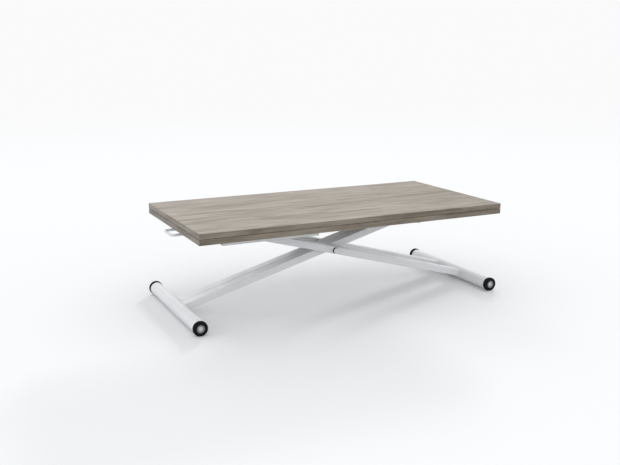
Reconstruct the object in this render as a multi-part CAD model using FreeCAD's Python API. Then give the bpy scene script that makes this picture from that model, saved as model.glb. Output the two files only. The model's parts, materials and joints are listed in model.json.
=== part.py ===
"""Convertible coffee and dining table: wheeled scissor legs, gas lift and a folding two-leaf top.

Millimetres, +Z up. The origin lies on the floor under the middle of the folded top.
+X runs along the length, towards the hinged end of the lift, and +Y towards the hinged edge of the leaves.
"""
import FreeCAD
import Part
import math
import os

# Folding top
TOP_LENGTH = 1150.0
TOP_WIDTH = 575.0
LEAF_THICKNESS = 18.0
LEAF_GAP = 1.5
LEAF_EDGE_ROUND = 1.0

# Leaf hinges
HINGE_COUNT = 3
HINGE_END_MARGIN = 150.0
HINGE_LENGTH = 60.0
HINGE_PLATE_DEPTH = 28.0
HINGE_PLATE_THICKNESS = 1.8
KNUCKLE_RADIUS = 3.0
HINGE_PIN_RADIUS = 1.3
HINGE_SCREW_INSET = 8.0
KNUCKLE_PLAY = 0.3

# Bumper pads between the leaves
PAD_COUNT = 4
PAD_RADIUS = 5.0
PAD_INSET = 30.0
PAD_PLAY = 0.2

# Scissor legs
REST_ANGLE = 15.35
LIFT_DOWN = 5.5
LIFT_UP = 29.6
FOOT_AXIS_X = 569.0
UPPER_ARM = 341.0
TUBE_WIDTH = 40.0
TUBE_DEPTH = 26.0
TUBE_WALL = 2.0
TUBE_CORNER = 2.5
PAIR_GAP = 2.0
LEG_GAP = 8.0
LEG_END = 18.0
END_PLUG_LIP = 2.0
END_PLUG_DEPTH = 12.0

# Feet and wheels
WHEEL_RADIUS = 25.0
WHEEL_OUTER_Y = 260.0
TYRE_WIDTH = 14.0
TYRE_SHOULDER = 3.0
HUB_RADIUS = 13.5
HUB_INSET = 0.5
HUB_RECESS_RADIUS = 10.0
HUB_RECESS_DEPTH = 3.5
WHEEL_SIDE_GAP = 1.0
HUB_SIDE_GAP = 0.3
FOOT_TUBE_RADIUS = 22.5
FOOT_TUBE_WALL = 2.5
FOOT_PLUG_LIP = 1.5
FOOT_PLUG_DEPTH = 20.0
AXLE_RADIUS = 6.0
AXLE_CAP_RADIUS = 8.0
AXLE_CAP_THICKNESS = 2.6

# Scissor pivot and upper shafts
PIVOT_PIN_RADIUS = 8.0
SHAFT_RADIUS = 8.0
BUSH_WALL = 3.0
WASHER_RADIUS = 11.0
WASHER_PLAY = 0.2
PIVOT_COLLAR_LENGTH = 7.0
PIVOT_COLLAR_SET_BACK = 0.3
PIVOT_CAP_RADIUS = 9.5
PIVOT_CAP_HEIGHT = 4.0
PIVOT_CAP_ROUND = 2.0
NUT_ACROSS_FLATS = 18.0
NUT_HEIGHT = 8.0
NUT_WASHER_GAP = 2.0

# Under-frame
SIDE_BAR_INNER_Y = 110.0
SIDE_BAR_WIDTH = 40.0
SIDE_BAR_THICKNESS = 5.0
SIDE_BAR_END_INSET = 65.0
CROSS_PLATE_WIDTH = 70.0
CROSS_LAP = 30.0
PLATE_LEG_GAP = 20.0
TRACK_HEIGHT = 26.0
TRACK_DEPTH = 30.0
TRACK_WALL = 2.5
TRACK_LEFT_RUN = 106.0
TRACK_RIGHT_RUN = 58.0
BLOCK_LENGTH = 40.0
BLOCK_PLAY = 0.3
BLOCK_SET_BACK = 1.0
SLIDER_SHAFT_SET_BACK = 1.0
EAR_THICKNESS = 6.0
EAR_RADIUS = 14.0
EAR_BOLT_GAP = 2.0
SHAFT_OVERHANG = 3.0

# Runners that let the top slide across the frame
RUNNER_END_INSET = 175.0
RUNNER_HALF_LENGTH = 235.0
RUNNER_HEIGHT = 12.0
RUNNER_WIDTH = 34.0
RUNNER_WALL = 2.0
RUNNER_SLOT = 16.0
RUNNER_PLAY = 0.3
RUNNER_CAP_GAP = 0.5
RAIL_FLANGE = 3.0
RAIL_WEB = 10.0
RAIL_CAP_WIDTH = 30.0
RAIL_CAP_THICKNESS = 2.0

# Lockable gas spring
CYLINDER_RADIUS = 13.0
CYLINDER_WALL = 1.5
GLAND_LENGTH = 8.0
BASE_LENGTH = 6.0
ROD_RADIUS = 5.0
PISTON_LENGTH = 12.0
PISTON_PLAY = 1.0
GLAND_GAP = 5.0
COLLAR_LENGTH = 30.0
COLLAR_HEIGHT = 30.0
COLLAR_PLAY = 0.5
HEAD_LENGTH = 24.0
HEAD_WIDTH = 26.0
HEAD_DROP = 12.0
RELEASE_PIN_RADIUS = 2.0
RELEASE_PIN_LENGTH = 42.0
RELEASE_PIN_GAP = 0.3
RELEASE_PIN_STROKE = 4.0
ROD_STICK_OUT = 2.0

# Release handle
HANDLE_PIVOT_INSET = 72.0
CAM_RISE = 9.0
BAIL_RADIUS = 4.5
BAIL_HALF_WIDTH = 46.0
BAIL_PAST_TOP = 14.5
BAIL_Z_BELOW_TOP = 15.5
BAIL_CORNER = 14.0
BAIL_KNEE_REACH = 36.0
BAIL_KNEE_ROUND = 16.0
HANDLE_EYE_RADIUS = 8.0
HANDLE_SHAFT_RADIUS = 4.0
HANDLE_SHAFT_OVERHANG = 1.5
LUG_OUTER_Y = 31.0
LUG_THICKNESS = 3.0
LUG_HALF_WIDTH = 10.0
LUG_TAIL = 8.0
BRACKET_THICKNESS = 2.5
CAM_RADIUS = 7.0
CAM_HALF_THICKNESS = 5.0
CAM_WIDTH = 10.0
CAM_ABOVE_PIN = 4.0
HEAD_CAM_CLEARANCE = 16.0
END_PLATE_MARGIN = 14.0
END_PLATE_LAP = 8.0

# Screws
SCREW_RADIUS = 2.0
SCREW_HEAD_RADIUS = 3.6
SCREW_DEPTH = 10.0
RAIL_SCREW_COUNT = 4
RAIL_SCREW_END = 30.0
BOLT_RADIUS = 2.5
BOLT_HEAD_RADIUS = 3.5
BOLT_HEAD_HEIGHT = 3.0
BOLT_INSET = 4.5
BOLT_SPREAD = 8.0

# Radial clearance of pins, shafts and plugs, and the play that lets cutters run past a face
FIT = 0.05
PAST = 1.0


def vec(x, y, z):
    """Return a point or direction."""
    return FreeCAD.Vector(x, y, z)


X_AXIS = vec(1, 0, 0)
Y_AXIS = vec(0, 1, 0)
Z_AXIS = vec(0, 0, 1)
ORIGIN = vec(0, 0, 0)

# Places that follow from the driving dimensions
angle = math.radians(REST_ANGLE)
lower_arm = FOOT_AXIS_X / math.cos(angle)
axle_z = WHEEL_RADIUS
pivot_z = axle_z + FOOT_AXIS_X * math.tan(angle)
upper_x = UPPER_ARM * math.cos(angle)
upper_z = pivot_z + UPPER_ARM * math.sin(angle)
slider_down_x = upper_x - 2 * UPPER_ARM * math.cos(math.radians(REST_ANGLE - LIFT_DOWN))
slider_up_x = upper_x - 2 * UPPER_ARM * math.cos(math.radians(REST_ANGLE + LIFT_UP))
slider_x = -upper_x
slider_stroke = slider_up_x - slider_down_x

bar_bottom = upper_z + TRACK_HEIGHT / 2
bar_top = bar_bottom + SIDE_BAR_THICKNESS
side_bar_outer_y = SIDE_BAR_INNER_Y + SIDE_BAR_WIDTH
top_underside = bar_top + RUNNER_HEIGHT
lower_leaf_top = top_underside + LEAF_THICKNESS
upper_leaf_bottom = lower_leaf_top + LEAF_GAP
top_z = upper_leaf_bottom + LEAF_THICKNESS
fold_axis_y = TOP_WIDTH / 2 - KNUCKLE_RADIUS
fold_axis_z = lower_leaf_top + LEAF_GAP / 2
leaf_back_y = fold_axis_y - LEAF_GAP / 2
leaf_front_y = -TOP_WIDTH / 2

leg_a_y = (PAIR_GAP / 2, PAIR_GAP / 2 + TUBE_WIDTH)
leg_b_y = (leg_a_y[1] + LEG_GAP, leg_a_y[1] + LEG_GAP + TUBE_WIDTH)
stack_front_y = -leg_b_y[1]
stack_back_y = leg_b_y[1]
ear_inner_y = SIDE_BAR_INNER_Y + BOLT_INSET + BOLT_HEAD_RADIUS + EAR_BOLT_GAP
bush_radius = PIVOT_PIN_RADIUS + BUSH_WALL
shaft_bush_radius = SHAFT_RADIUS + BUSH_WALL

wheel_inner_y = WHEEL_OUTER_Y - TYRE_WIDTH
foot_end_y = wheel_inner_y - WHEEL_SIDE_GAP
hub_outer_y = WHEEL_OUTER_Y - HUB_INSET
hub_inner_y = foot_end_y + HUB_SIDE_GAP
axle_end_y = hub_outer_y - HUB_RECESS_DEPTH

gas_y = (stack_front_y + stack_back_y) / 2
handle_x = -TOP_LENGTH / 2 + HANDLE_PIVOT_INSET
handle_z = upper_z - CAM_RISE
bail_x = -TOP_LENGTH / 2 - BAIL_PAST_TOP
bail_z = top_underside - BAIL_Z_BELOW_TOP
bail_arm_y = BAIL_HALF_WIDTH - BAIL_RADIUS
bail_knee_x = handle_x - BAIL_KNEE_REACH
head_left_x = handle_x + HEAD_CAM_CLEARANCE
head_right_x = head_left_x + HEAD_LENGTH
rod_left_x = head_left_x - ROD_STICK_OUT
gland_down_x = head_right_x + GLAND_GAP
gland_x = gland_down_x + slider_x - slider_down_x
gland_up_x = gland_down_x + slider_stroke
piston_left_x = gland_up_x + GLAND_LENGTH + PISTON_PLAY
piston_right_x = piston_left_x + PISTON_LENGTH
cavity_length = slider_stroke + PISTON_LENGTH + 2 * PISTON_PLAY
cylinder_length = GLAND_LENGTH + cavity_length + BASE_LENGTH
release_pin_left_x = handle_x + CAM_HALF_THICKNESS + RELEASE_PIN_GAP
left_plate_x = (handle_x - END_PLATE_MARGIN, head_right_x + END_PLATE_LAP)
side_bar_left_x = left_plate_x[1] - CROSS_LAP
side_bar_right_x = TOP_LENGTH / 2 - SIDE_BAR_END_INSET
leg_end_reach = math.hypot(LEG_END + END_PLUG_LIP, TUBE_DEPTH / 2)
right_plate_x = (upper_x + leg_end_reach + PLATE_LEG_GAP, side_bar_right_x)
runner_x = TOP_LENGTH / 2 - RUNNER_END_INSET


def block(x_range, y_range, z_range):
    """Return a box between the given limits."""
    size = [high - low for low, high in (x_range, y_range, z_range)]
    return Part.makeBox(*size, vec(x_range[0], y_range[0], z_range[0]))


def rod_x(radius, x_range, y, z):
    """Return a cylinder along X."""
    return Part.makeCylinder(radius, x_range[1] - x_range[0], vec(x_range[0], y, z), X_AXIS)


def rod_y(radius, y_range, x, z):
    """Return a cylinder along Y."""
    return Part.makeCylinder(radius, y_range[1] - y_range[0], vec(x, y_range[0], z), Y_AXIS)


def rod_z(radius, z_range, x, y):
    """Return a cylinder along Z."""
    return Part.makeCylinder(radius, z_range[1] - z_range[0], vec(x, y, z_range[0]), Z_AXIS)


def ring_y(outer, inner, y_range, x, z):
    """Return a sleeve along Y."""
    return rod_y(outer, y_range, x, z).cut(rod_y(inner, y_range, x, z))


def mirrored(y_range):
    """Return the range on the other side of the middle plane."""
    return (-y_range[1], -y_range[0])


def both_sides(y_range):
    """Return a back range and its front mirror image."""
    return (y_range, mirrored(y_range))


def spread(count, low, high):
    """Return evenly spaced places from low to high."""
    return [low + (high - low) * step / (count - 1) for step in range(count)]


def save(name, *solids):
    """Write the solids of one piece, or of a group of like pieces, to its own file."""
    shape = solids[0] if len(solids) == 1 else Part.makeCompound(list(solids))
    shape.exportStep(os.path.join("parts", name + ".step"))
    print(f"{name}: {len(shape.Solids)} solid, {shape.Volume / 1000:.1f} cm3, valid {shape.isValid()}")


# Wheels and feet

def tyre(y_range, x):
    """Return a rubber ring with rounded shoulders."""
    body = ring_y(WHEEL_RADIUS, HUB_RADIUS, y_range, x, axle_z)
    rims = [edge for edge in body.Edges if abs(edge.BoundBox.XLength - 2 * WHEEL_RADIUS) < PAST]
    return body.makeFillet(TYRE_SHOULDER, rims)


def hub(side, x):
    """Return a wheel hub with a recess for the axle cap in its outer face."""
    y_range = sorted((side * hub_inner_y, side * hub_outer_y))
    recess = sorted((side * axle_end_y, side * hub_outer_y))
    body = ring_y(HUB_RADIUS - FIT, AXLE_RADIUS + FIT, y_range, x, axle_z)
    return body.cut(rod_y(HUB_RECESS_RADIUS, recess, x, axle_z))


def foot_plug(side, x):
    """Return a bearing plug for one end of a foot tube, with a lip outside the tube."""
    lip = sorted((side * (foot_end_y - FOOT_PLUG_LIP), side * foot_end_y))
    insert = sorted((side * (foot_end_y - FOOT_PLUG_LIP - FOOT_PLUG_DEPTH), side * foot_end_y))
    body = rod_y(FOOT_TUBE_RADIUS, lip, x, axle_z)
    body = body.fuse(rod_y(FOOT_TUBE_RADIUS - FOOT_TUBE_WALL - FIT, insert, x, axle_z))
    return body.removeSplitter().cut(rod_y(AXLE_RADIUS + FIT, insert, x, axle_z))


def axle_cap(side, x):
    """Return the round cap on one axle end."""
    y_range = sorted((side * axle_end_y, side * (axle_end_y + AXLE_CAP_THICKNESS)))
    return rod_y(AXLE_CAP_RADIUS, y_range, x, axle_z)


def build_foot(name, x):
    """Write one foot: tube, plugs, axle, caps and both wheels."""
    tube_end = foot_end_y - FOOT_PLUG_LIP
    save(f"{name}_foot_tube", ring_y(FOOT_TUBE_RADIUS, FOOT_TUBE_RADIUS - FOOT_TUBE_WALL,
                                     (-tube_end, tube_end), x, axle_z))
    save(f"{name}_foot_plugs", foot_plug(-1, x), foot_plug(1, x))
    save(f"{name}_axle", rod_y(AXLE_RADIUS, (-axle_end_y, axle_end_y), x, axle_z))
    save(f"{name}_axle_caps", axle_cap(-1, x), axle_cap(1, x))
    for side, place in ((-1, "front"), (1, "back")):
        y_range = sorted((side * wheel_inner_y, side * WHEEL_OUTER_Y))
        save(f"{name}_{place}_tyre", tyre(y_range, x))
        save(f"{name}_{place}_hub", hub(side, x))


# Scissor legs

def rounded_bar(x_range, y_range, depth, corner):
    """Return a bar along X, centred on Z = 0, with its four long edges rounded."""
    bar = block(x_range, y_range, (-depth / 2, depth / 2))
    long_edges = [edge for edge in bar.Edges if edge.BoundBox.XLength > PAST]
    return bar.makeFillet(corner, long_edges)


def stand(shape, x, turn):
    """Turn a leg piece, drawn along X from its foot axis, to its rest angle and set it on that axis."""
    shape.rotate(ORIGIN, Y_AXIS, -turn)
    shape.translate(vec(x, 0, axle_z))
    return shape


def leg_tube(y_range, pivot_hole, upper_hole):
    """Return a flat tube along X from the foot axis, coped to the foot tube and bored for its pins."""
    length = lower_arm + UPPER_ARM + LEG_END
    inside = (y_range[0] + TUBE_WALL, y_range[1] - TUBE_WALL)
    past_y = (y_range[0] - PAST, y_range[1] + PAST)
    depth = TUBE_DEPTH - 2 * TUBE_WALL
    tube = rounded_bar((0, length), y_range, TUBE_DEPTH, TUBE_CORNER)
    tube = tube.cut(rounded_bar((-PAST, length + PAST), inside, depth, TUBE_CORNER - TUBE_WALL))
    bores = ((FOOT_TUBE_RADIUS, 0), (pivot_hole, lower_arm), (upper_hole, lower_arm + UPPER_ARM))
    for radius, along in bores:
        tube = tube.cut(rod_y(radius, past_y, along, 0))
    return tube


def end_plug(y_range):
    """Return the plug of a leg tube's upper end: a lip over the end and an insert in the tube."""
    length = lower_arm + UPPER_ARM + LEG_END
    margin = TUBE_WALL + FIT
    inside = (y_range[0] + margin, y_range[1] - margin)
    depth = TUBE_DEPTH - 2 * margin
    lip = rounded_bar((length, length + END_PLUG_LIP), y_range, TUBE_DEPTH, TUBE_CORNER)
    insert = rounded_bar((length - END_PLUG_DEPTH, length), inside, depth, TUBE_CORNER - TUBE_WALL)
    bore = rod_y(shaft_bush_radius + FIT, y_range, lower_arm + UPPER_ARM, 0)
    return lip.fuse(insert).removeSplitter().cut(bore)


def build_leg(name, back_y, foot_x, turn, pivot_hole, upper_hole):
    """Write the two tubes of a leg and the plugs in their upper ends."""
    for y_range, place in zip(both_sides(back_y), ("back", "front")):
        save(f"leg_{name}_{place}_tube", stand(leg_tube(y_range, pivot_hole, upper_hole), foot_x, turn))
    save(f"leg_{name}_end_plugs", *[stand(end_plug(y_range), foot_x, turn) for y_range in both_sides(back_y)])


def washer(gap, bore):
    """Return the washer that fills a gap between two tubes, or a tube and the nut, on the scissor pivot."""
    return ring_y(WASHER_RADIUS, bore, (gap[0] + WASHER_PLAY, gap[1] - WASHER_PLAY), 0, pivot_z)


def hexagon_y(across_flats, y_range, x, z):
    """Return a hexagonal prism along Y."""
    radius = across_flats / math.sqrt(3)
    turns = [math.radians(60 * step) for step in range(7)]
    corners = [vec(x + radius * math.cos(turn), y_range[0], z + radius * math.sin(turn)) for turn in turns]
    return Part.Face(Part.makePolygon(corners)).extrude(vec(0, y_range[1] - y_range[0], 0))


def build_pivot():
    """Write the pin that crosses both legs, with its cap, collar, washers, bushes and nut."""
    head_y = stack_front_y - PIVOT_COLLAR_LENGTH
    tail_y = stack_back_y + NUT_WASHER_GAP
    bore = PIVOT_PIN_RADIUS + FIT
    save("pivot_pin", rod_y(PIVOT_PIN_RADIUS, (head_y, tail_y + NUT_HEIGHT), 0, pivot_z))
    collar = ring_y(PIVOT_CAP_RADIUS - PIVOT_COLLAR_SET_BACK, bore,
                    (head_y + WASHER_PLAY, stack_front_y - WASHER_PLAY), 0, pivot_z)
    between_legs = both_sides((leg_a_y[1], leg_b_y[0]))
    gaps = [*between_legs, (-leg_a_y[0], leg_a_y[0]), (stack_back_y, tail_y)]
    save("pivot_washers", collar, *[washer(gap, bore) for gap in gaps])
    cap = rod_y(PIVOT_CAP_RADIUS, (head_y - PIVOT_CAP_HEIGHT, head_y), 0, pivot_z)
    rim = [edge for edge in cap.Edges if edge.BoundBox.YMax < head_y - PIVOT_CAP_HEIGHT + FIT]
    save("pivot_cap", cap.makeFillet(PIVOT_CAP_ROUND, rim))
    save("pivot_bushes", *[ring_y(bush_radius, bore, y_range, 0, pivot_z) for y_range in both_sides(leg_b_y)])
    nut = hexagon_y(NUT_ACROSS_FLATS, (tail_y, tail_y + NUT_HEIGHT), 0, pivot_z)
    save("pivot_nut", nut.cut(rod_y(bore, (tail_y - PAST, tail_y + NUT_HEIGHT + PAST), 0, pivot_z)))


# Shafts at the upper ends of the legs

def ear(y_range):
    """Return a hinge ear that hangs under a side bar."""
    width = (upper_x - EAR_RADIUS, upper_x + EAR_RADIUS)
    rounded_end = rod_y(EAR_RADIUS, y_range, upper_x, upper_z)
    rounded_end = rounded_end.common(block(width, y_range, (upper_z - EAR_RADIUS, upper_z)))
    plate = block(width, y_range, (upper_z, bar_bottom)).fuse(rounded_end).removeSplitter()
    return plate.cut(rod_y(shaft_bush_radius + FIT, y_range, upper_x, upper_z))


def build_hinge_shaft():
    """Write the fixed shaft at the upper end of leg A, its ears and their bushes."""
    ear_y = (ear_inner_y, ear_inner_y + EAR_THICKNESS)
    shaft_end = ear_y[1] + SHAFT_OVERHANG
    save("hinge_shaft", rod_y(SHAFT_RADIUS, (-shaft_end, shaft_end), upper_x, upper_z))
    save("hinge_ears", *[ear(y_range) for y_range in both_sides(ear_y)])
    save("hinge_bushes", *[ring_y(shaft_bush_radius, SHAFT_RADIUS + FIT, y_range, upper_x, upper_z)
                           for y_range in both_sides(ear_y)])


def build_slider():
    """Write the upper axle of leg B, with a collar round the gas cylinder, its bushes and slide blocks."""
    half_collar = leg_b_y[0] - COLLAR_PLAY
    block_outer = side_bar_outer_y - TRACK_WALL - BLOCK_PLAY
    block_inner = side_bar_outer_y - TRACK_DEPTH + BLOCK_SET_BACK
    half_height = TRACK_HEIGHT / 2 - TRACK_WALL - BLOCK_PLAY
    shaft_end = block_outer - SLIDER_SHAFT_SET_BACK
    around = (slider_x - COLLAR_LENGTH / 2, slider_x + COLLAR_LENGTH / 2)
    collar = block(around, (gas_y - half_collar, gas_y + half_collar),
                   (upper_z - COLLAR_HEIGHT / 2, upper_z + COLLAR_HEIGHT / 2))
    axle = collar.fuse(rod_y(SHAFT_RADIUS, (-shaft_end, shaft_end), slider_x, upper_z))
    gas_bore = rod_x(CYLINDER_RADIUS + FIT, (around[0] - PAST, around[1] + PAST), gas_y, upper_z)
    save("slider_axle", axle.cut(gas_bore))
    save("slider_bushes", *[ring_y(shaft_bush_radius, SHAFT_RADIUS + FIT, y_range, slider_x, upper_z)
                            for y_range in both_sides(leg_b_y)])
    blocks = []
    for y_range in both_sides((block_inner, block_outer)):
        solid = block((slider_x - BLOCK_LENGTH / 2, slider_x + BLOCK_LENGTH / 2), y_range,
                      (upper_z - half_height, upper_z + half_height))
        blocks.append(solid.cut(rod_y(SHAFT_RADIUS + FIT, (-shaft_end, shaft_end), slider_x, upper_z)))
    save("slide_blocks", *blocks)


# Gas spring and its release

def build_gas_spring():
    """Write the cylinder that rides on the slider, and the rod, piston and release that stay on the frame."""
    cavity = (gland_x + GLAND_LENGTH, gland_x + GLAND_LENGTH + cavity_length)
    bore = CYLINDER_RADIUS - CYLINDER_WALL
    cylinder = rod_x(CYLINDER_RADIUS, (gland_x, gland_x + cylinder_length), gas_y, upper_z)
    cylinder = cylinder.cut(rod_x(bore, cavity, gas_y, upper_z))
    rod_bore = rod_x(ROD_RADIUS + FIT, (gland_x - PAST, cavity[0] + PAST), gas_y, upper_z)
    save("gas_cylinder", cylinder.cut(rod_bore))
    pin_right = release_pin_left_x + RELEASE_PIN_LENGTH
    rod = rod_x(ROD_RADIUS, (rod_left_x, piston_right_x), gas_y, upper_z)
    rod = rod.fuse(rod_x(bore - FIT, (piston_left_x, piston_right_x), gas_y, upper_z)).removeSplitter()
    pin_bore = (rod_left_x - PAST, pin_right + RELEASE_PIN_STROKE)
    save("gas_rod", rod.cut(rod_x(RELEASE_PIN_RADIUS + FIT, pin_bore, gas_y, upper_z)))
    save("release_pin", rod_x(RELEASE_PIN_RADIUS, (release_pin_left_x, pin_right), gas_y, upper_z))
    head = block((head_left_x, head_right_x), (gas_y - HEAD_WIDTH / 2, gas_y + HEAD_WIDTH / 2),
                 (upper_z - HEAD_DROP, bar_bottom))
    head_bore = rod_x(ROD_RADIUS + FIT, (head_left_x - PAST, head_right_x + PAST), gas_y, upper_z)
    save("release_head", head.cut(head_bore))


def bend(start, corner, end, radius):
    """Return the two ends and the middle of an arc that rounds a corner between two straight lengths."""
    back = (start - corner).normalize()
    onward = (end - corner).normalize()
    half_angle = back.getAngle(onward) / 2
    reach = radius / math.tan(half_angle)
    inward = (back + onward).normalize()
    middle = corner + inward * (radius / math.sin(half_angle) - radius)
    return corner + back * reach, middle, corner + onward * reach


def bail():
    """Return the U-shaped handle: one rod that rises from an eye, runs level, crosses over and comes back."""
    half = [vec(handle_x, -bail_arm_y, handle_z), vec(bail_knee_x, -bail_arm_y, bail_z),
            vec(bail_x, -bail_arm_y, bail_z)]
    points = half + [vec(point.x, -point.y, point.z) for point in reversed(half)]
    rounds = (BAIL_KNEE_ROUND, BAIL_CORNER, BAIL_CORNER, BAIL_KNEE_ROUND)
    arcs = [bend(*points[place:place + 3], radius) for place, radius in enumerate(rounds)]
    edges = []
    last = points[0]
    for arc in arcs:
        edges += [Part.LineSegment(last, arc[0]).toShape(), Part.Arc(*arc).toShape()]
        last = arc[2]
    edges.append(Part.LineSegment(last, points[-1]).toShape())
    section = Part.Wire(Part.makeCircle(BAIL_RADIUS, points[0], points[1] - points[0]))
    rod = Part.Wire(edges).makePipeShell([section], True, False)
    eye_y = (bail_arm_y - BAIL_RADIUS, bail_arm_y + BAIL_RADIUS)
    for y_range in both_sides(eye_y):
        rod = rod.fuse(rod_y(HANDLE_EYE_RADIUS, y_range, handle_x, handle_z))
    for y_range in both_sides(eye_y):
        rod = rod.cut(rod_y(HANDLE_SHAFT_RADIUS + FIT, y_range, handle_x, handle_z))
    return rod


def lug(y_range):
    """Return one cheek of the handle bracket, from under the bracket's web down past the handle shaft."""
    sides = (handle_x - LUG_HALF_WIDTH, handle_x + LUG_HALF_WIDTH)
    plate = block(sides, y_range, (handle_z - LUG_TAIL, bar_bottom - BRACKET_THICKNESS))
    return plate.cut(rod_y(HANDLE_SHAFT_RADIUS + FIT, y_range, handle_x, handle_z))


def build_handle():
    """Write the handle, its shaft with the cam that presses the release pin, and the bracket."""
    save("release_handle", bail())
    shaft_end = BAIL_HALF_WIDTH + HANDLE_SHAFT_OVERHANG
    shaft = rod_y(HANDLE_SHAFT_RADIUS, (-shaft_end, shaft_end), handle_x, handle_z)
    cam_y = (gas_y - CAM_WIDTH / 2, gas_y + CAM_WIDTH / 2)
    finger = block((handle_x - CAM_HALF_THICKNESS, handle_x + CAM_HALF_THICKNESS), cam_y,
                   (handle_z, upper_z + CAM_ABOVE_PIN))
    cam = rod_y(CAM_RADIUS, cam_y, handle_x, handle_z).fuse(finger)
    save("release_cam_shaft", shaft.fuse(cam).removeSplitter())
    bracket = block((handle_x - LUG_HALF_WIDTH, handle_x + LUG_HALF_WIDTH), (-LUG_OUTER_Y, LUG_OUTER_Y),
                    (bar_bottom - BRACKET_THICKNESS, bar_bottom))
    for y_range in both_sides((LUG_OUTER_Y - LUG_THICKNESS, LUG_OUTER_Y)):
        bracket = bracket.fuse(lug(y_range))
    save("handle_bracket", bracket.removeSplitter())


# Under-frame

def bolt_places(x):
    """Return where the bolts of one runner pass through the side bars."""
    reach = SIDE_BAR_INNER_Y + BOLT_INSET
    return [(x + side_x * BOLT_SPREAD, side_y * reach) for side_x in (-1, 1) for side_y in (-1, 1)]


def bolt_holes():
    """Return cutters for every runner bolt, through the side bars and the runner floors."""
    height = (bar_bottom - PAST, bar_top + RUNNER_WALL)
    places = bolt_places(-runner_x) + bolt_places(runner_x)
    return Part.makeCompound([rod_z(BOLT_RADIUS + FIT, height, x, y) for x, y in places])


def track(side):
    """Return a channel along X whose open side faces the middle of the table."""
    ends = (slider_down_x - TRACK_LEFT_RUN, slider_up_x + TRACK_RIGHT_RUN)
    half = TRACK_HEIGHT / 2
    lip_y = side_bar_outer_y - TRACK_DEPTH
    inside = sorted((side * (lip_y - PAST), side * (side_bar_outer_y - TRACK_WALL)))
    body = block(ends, sorted((side * lip_y, side * side_bar_outer_y)), (upper_z - half, upper_z + half))
    inner_half = half - TRACK_WALL
    hollow = block((ends[0] - PAST, ends[1] + PAST), inside, (upper_z - inner_half, upper_z + inner_half))
    return body.cut(hollow)


def build_frame():
    """Write side bars, cross plates and the two tracks."""
    holes = bolt_holes()
    bar_z = (bar_bottom, bar_top)
    bar_y = (SIDE_BAR_INNER_Y, side_bar_outer_y)
    across = (-SIDE_BAR_INNER_Y, SIDE_BAR_INNER_Y)
    for y_range, place in zip(both_sides(bar_y), ("back", "front")):
        save(f"{place}_side_bar", block((side_bar_left_x, side_bar_right_x), y_range, bar_z).cut(holes))
    save("left_end_plate", block(left_plate_x, across, bar_z))
    save("middle_plate", block((-CROSS_PLATE_WIDTH / 2, CROSS_PLATE_WIDTH / 2), across, bar_z))
    save("right_end_plate", block(right_plate_x, across, bar_z))
    save("back_track", track(1))
    save("front_track", track(-1))


# Runners and screws

def fixed_runner(x):
    """Return a lipped channel across the side bars."""
    along = (-RUNNER_HALF_LENGTH, RUNNER_HALF_LENGTH)
    past = (-RUNNER_HALF_LENGTH - PAST, RUNNER_HALF_LENGTH + PAST)
    height = RUNNER_HEIGHT - RAIL_CAP_THICKNESS - RUNNER_CAP_GAP
    half = RUNNER_WIDTH / 2
    inside = half - RUNNER_WALL
    floor = bar_top + RUNNER_WALL
    body = block((x - half, x + half), along, (bar_top, bar_top + height))
    body = body.cut(block((x - inside, x + inside), past, (floor, bar_top + height - RUNNER_WALL)))
    slot = block((x - RUNNER_SLOT / 2, x + RUNNER_SLOT / 2), past, (floor, bar_top + height + PAST))
    return body.cut(slot).cut(bolt_holes())


def moving_rail(x):
    """Return the rail under the lower leaf: a flange in the fixed runner, a web and a screwed cap."""
    along = (-RUNNER_HALF_LENGTH, RUNNER_HALF_LENGTH)
    half = RUNNER_WIDTH / 2 - RUNNER_WALL - RUNNER_PLAY
    floor = bar_top + RUNNER_WALL + RUNNER_PLAY
    flange = block((x - half, x + half), along, (floor, floor + RAIL_FLANGE))
    web = block((x - RAIL_WEB / 2, x + RAIL_WEB / 2), along, (floor, top_underside))
    cap = block((x - RAIL_CAP_WIDTH / 2, x + RAIL_CAP_WIDTH / 2), along,
                (top_underside - RAIL_CAP_THICKNESS, top_underside))
    return flange.fuse([web, cap]).removeSplitter()


def screw(x, y, z_head, head_height, direction, clearance):
    """Return a countersunk screw whose flat head starts at z_head and whose shank points up or down."""
    axis = vec(0, 0, direction)
    head = Part.makeCone(SCREW_HEAD_RADIUS + clearance, SCREW_RADIUS + clearance, head_height,
                         vec(x, y, z_head), axis)
    shank = Part.makeCylinder(SCREW_RADIUS + clearance, head_height + SCREW_DEPTH + clearance,
                              vec(x, y, z_head), axis)
    return head.fuse(shank).removeSplitter()


def rail_screw_places():
    """Return where the moving rails are screwed to the lower leaf, in two rows beside each web."""
    inset = (RAIL_CAP_WIDTH + RAIL_WEB) / 4
    ends = RUNNER_HALF_LENGTH - RAIL_SCREW_END
    return [(side * runner_x + row * inset, y)
            for side in (-1, 1) for row in (-1, 1) for y in spread(RAIL_SCREW_COUNT, -ends, ends)]


def hinge_places():
    """Return the middle of each leaf hinge along the back edge."""
    reach = TOP_LENGTH / 2 - HINGE_END_MARGIN
    return spread(HINGE_COUNT, -reach, reach)


def hinge_screw_places():
    """Return where each hinge plate is screwed to its leaf."""
    reach = HINGE_LENGTH / 2 - HINGE_SCREW_INSET
    y = leaf_back_y - HINGE_PLATE_DEPTH + HINGE_SCREW_INSET
    return [(x + side * reach, y) for x in hinge_places() for side in (-1, 1)]


def rail_screws(clearance):
    """Return the screws, or their holes, that hold the moving rails to the lower leaf."""
    z_head = top_underside - RAIL_CAP_THICKNESS
    return [screw(x, y, z_head, RAIL_CAP_THICKNESS, 1, clearance) for x, y in rail_screw_places()]


def hinge_screws(z_face, direction, clearance):
    """Return the screws, or their holes, that hold one row of hinge plates to a leaf."""
    return [screw(x, y, z_face, HINGE_PLATE_THICKNESS, direction, clearance) for x, y in hinge_screw_places()]


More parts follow.
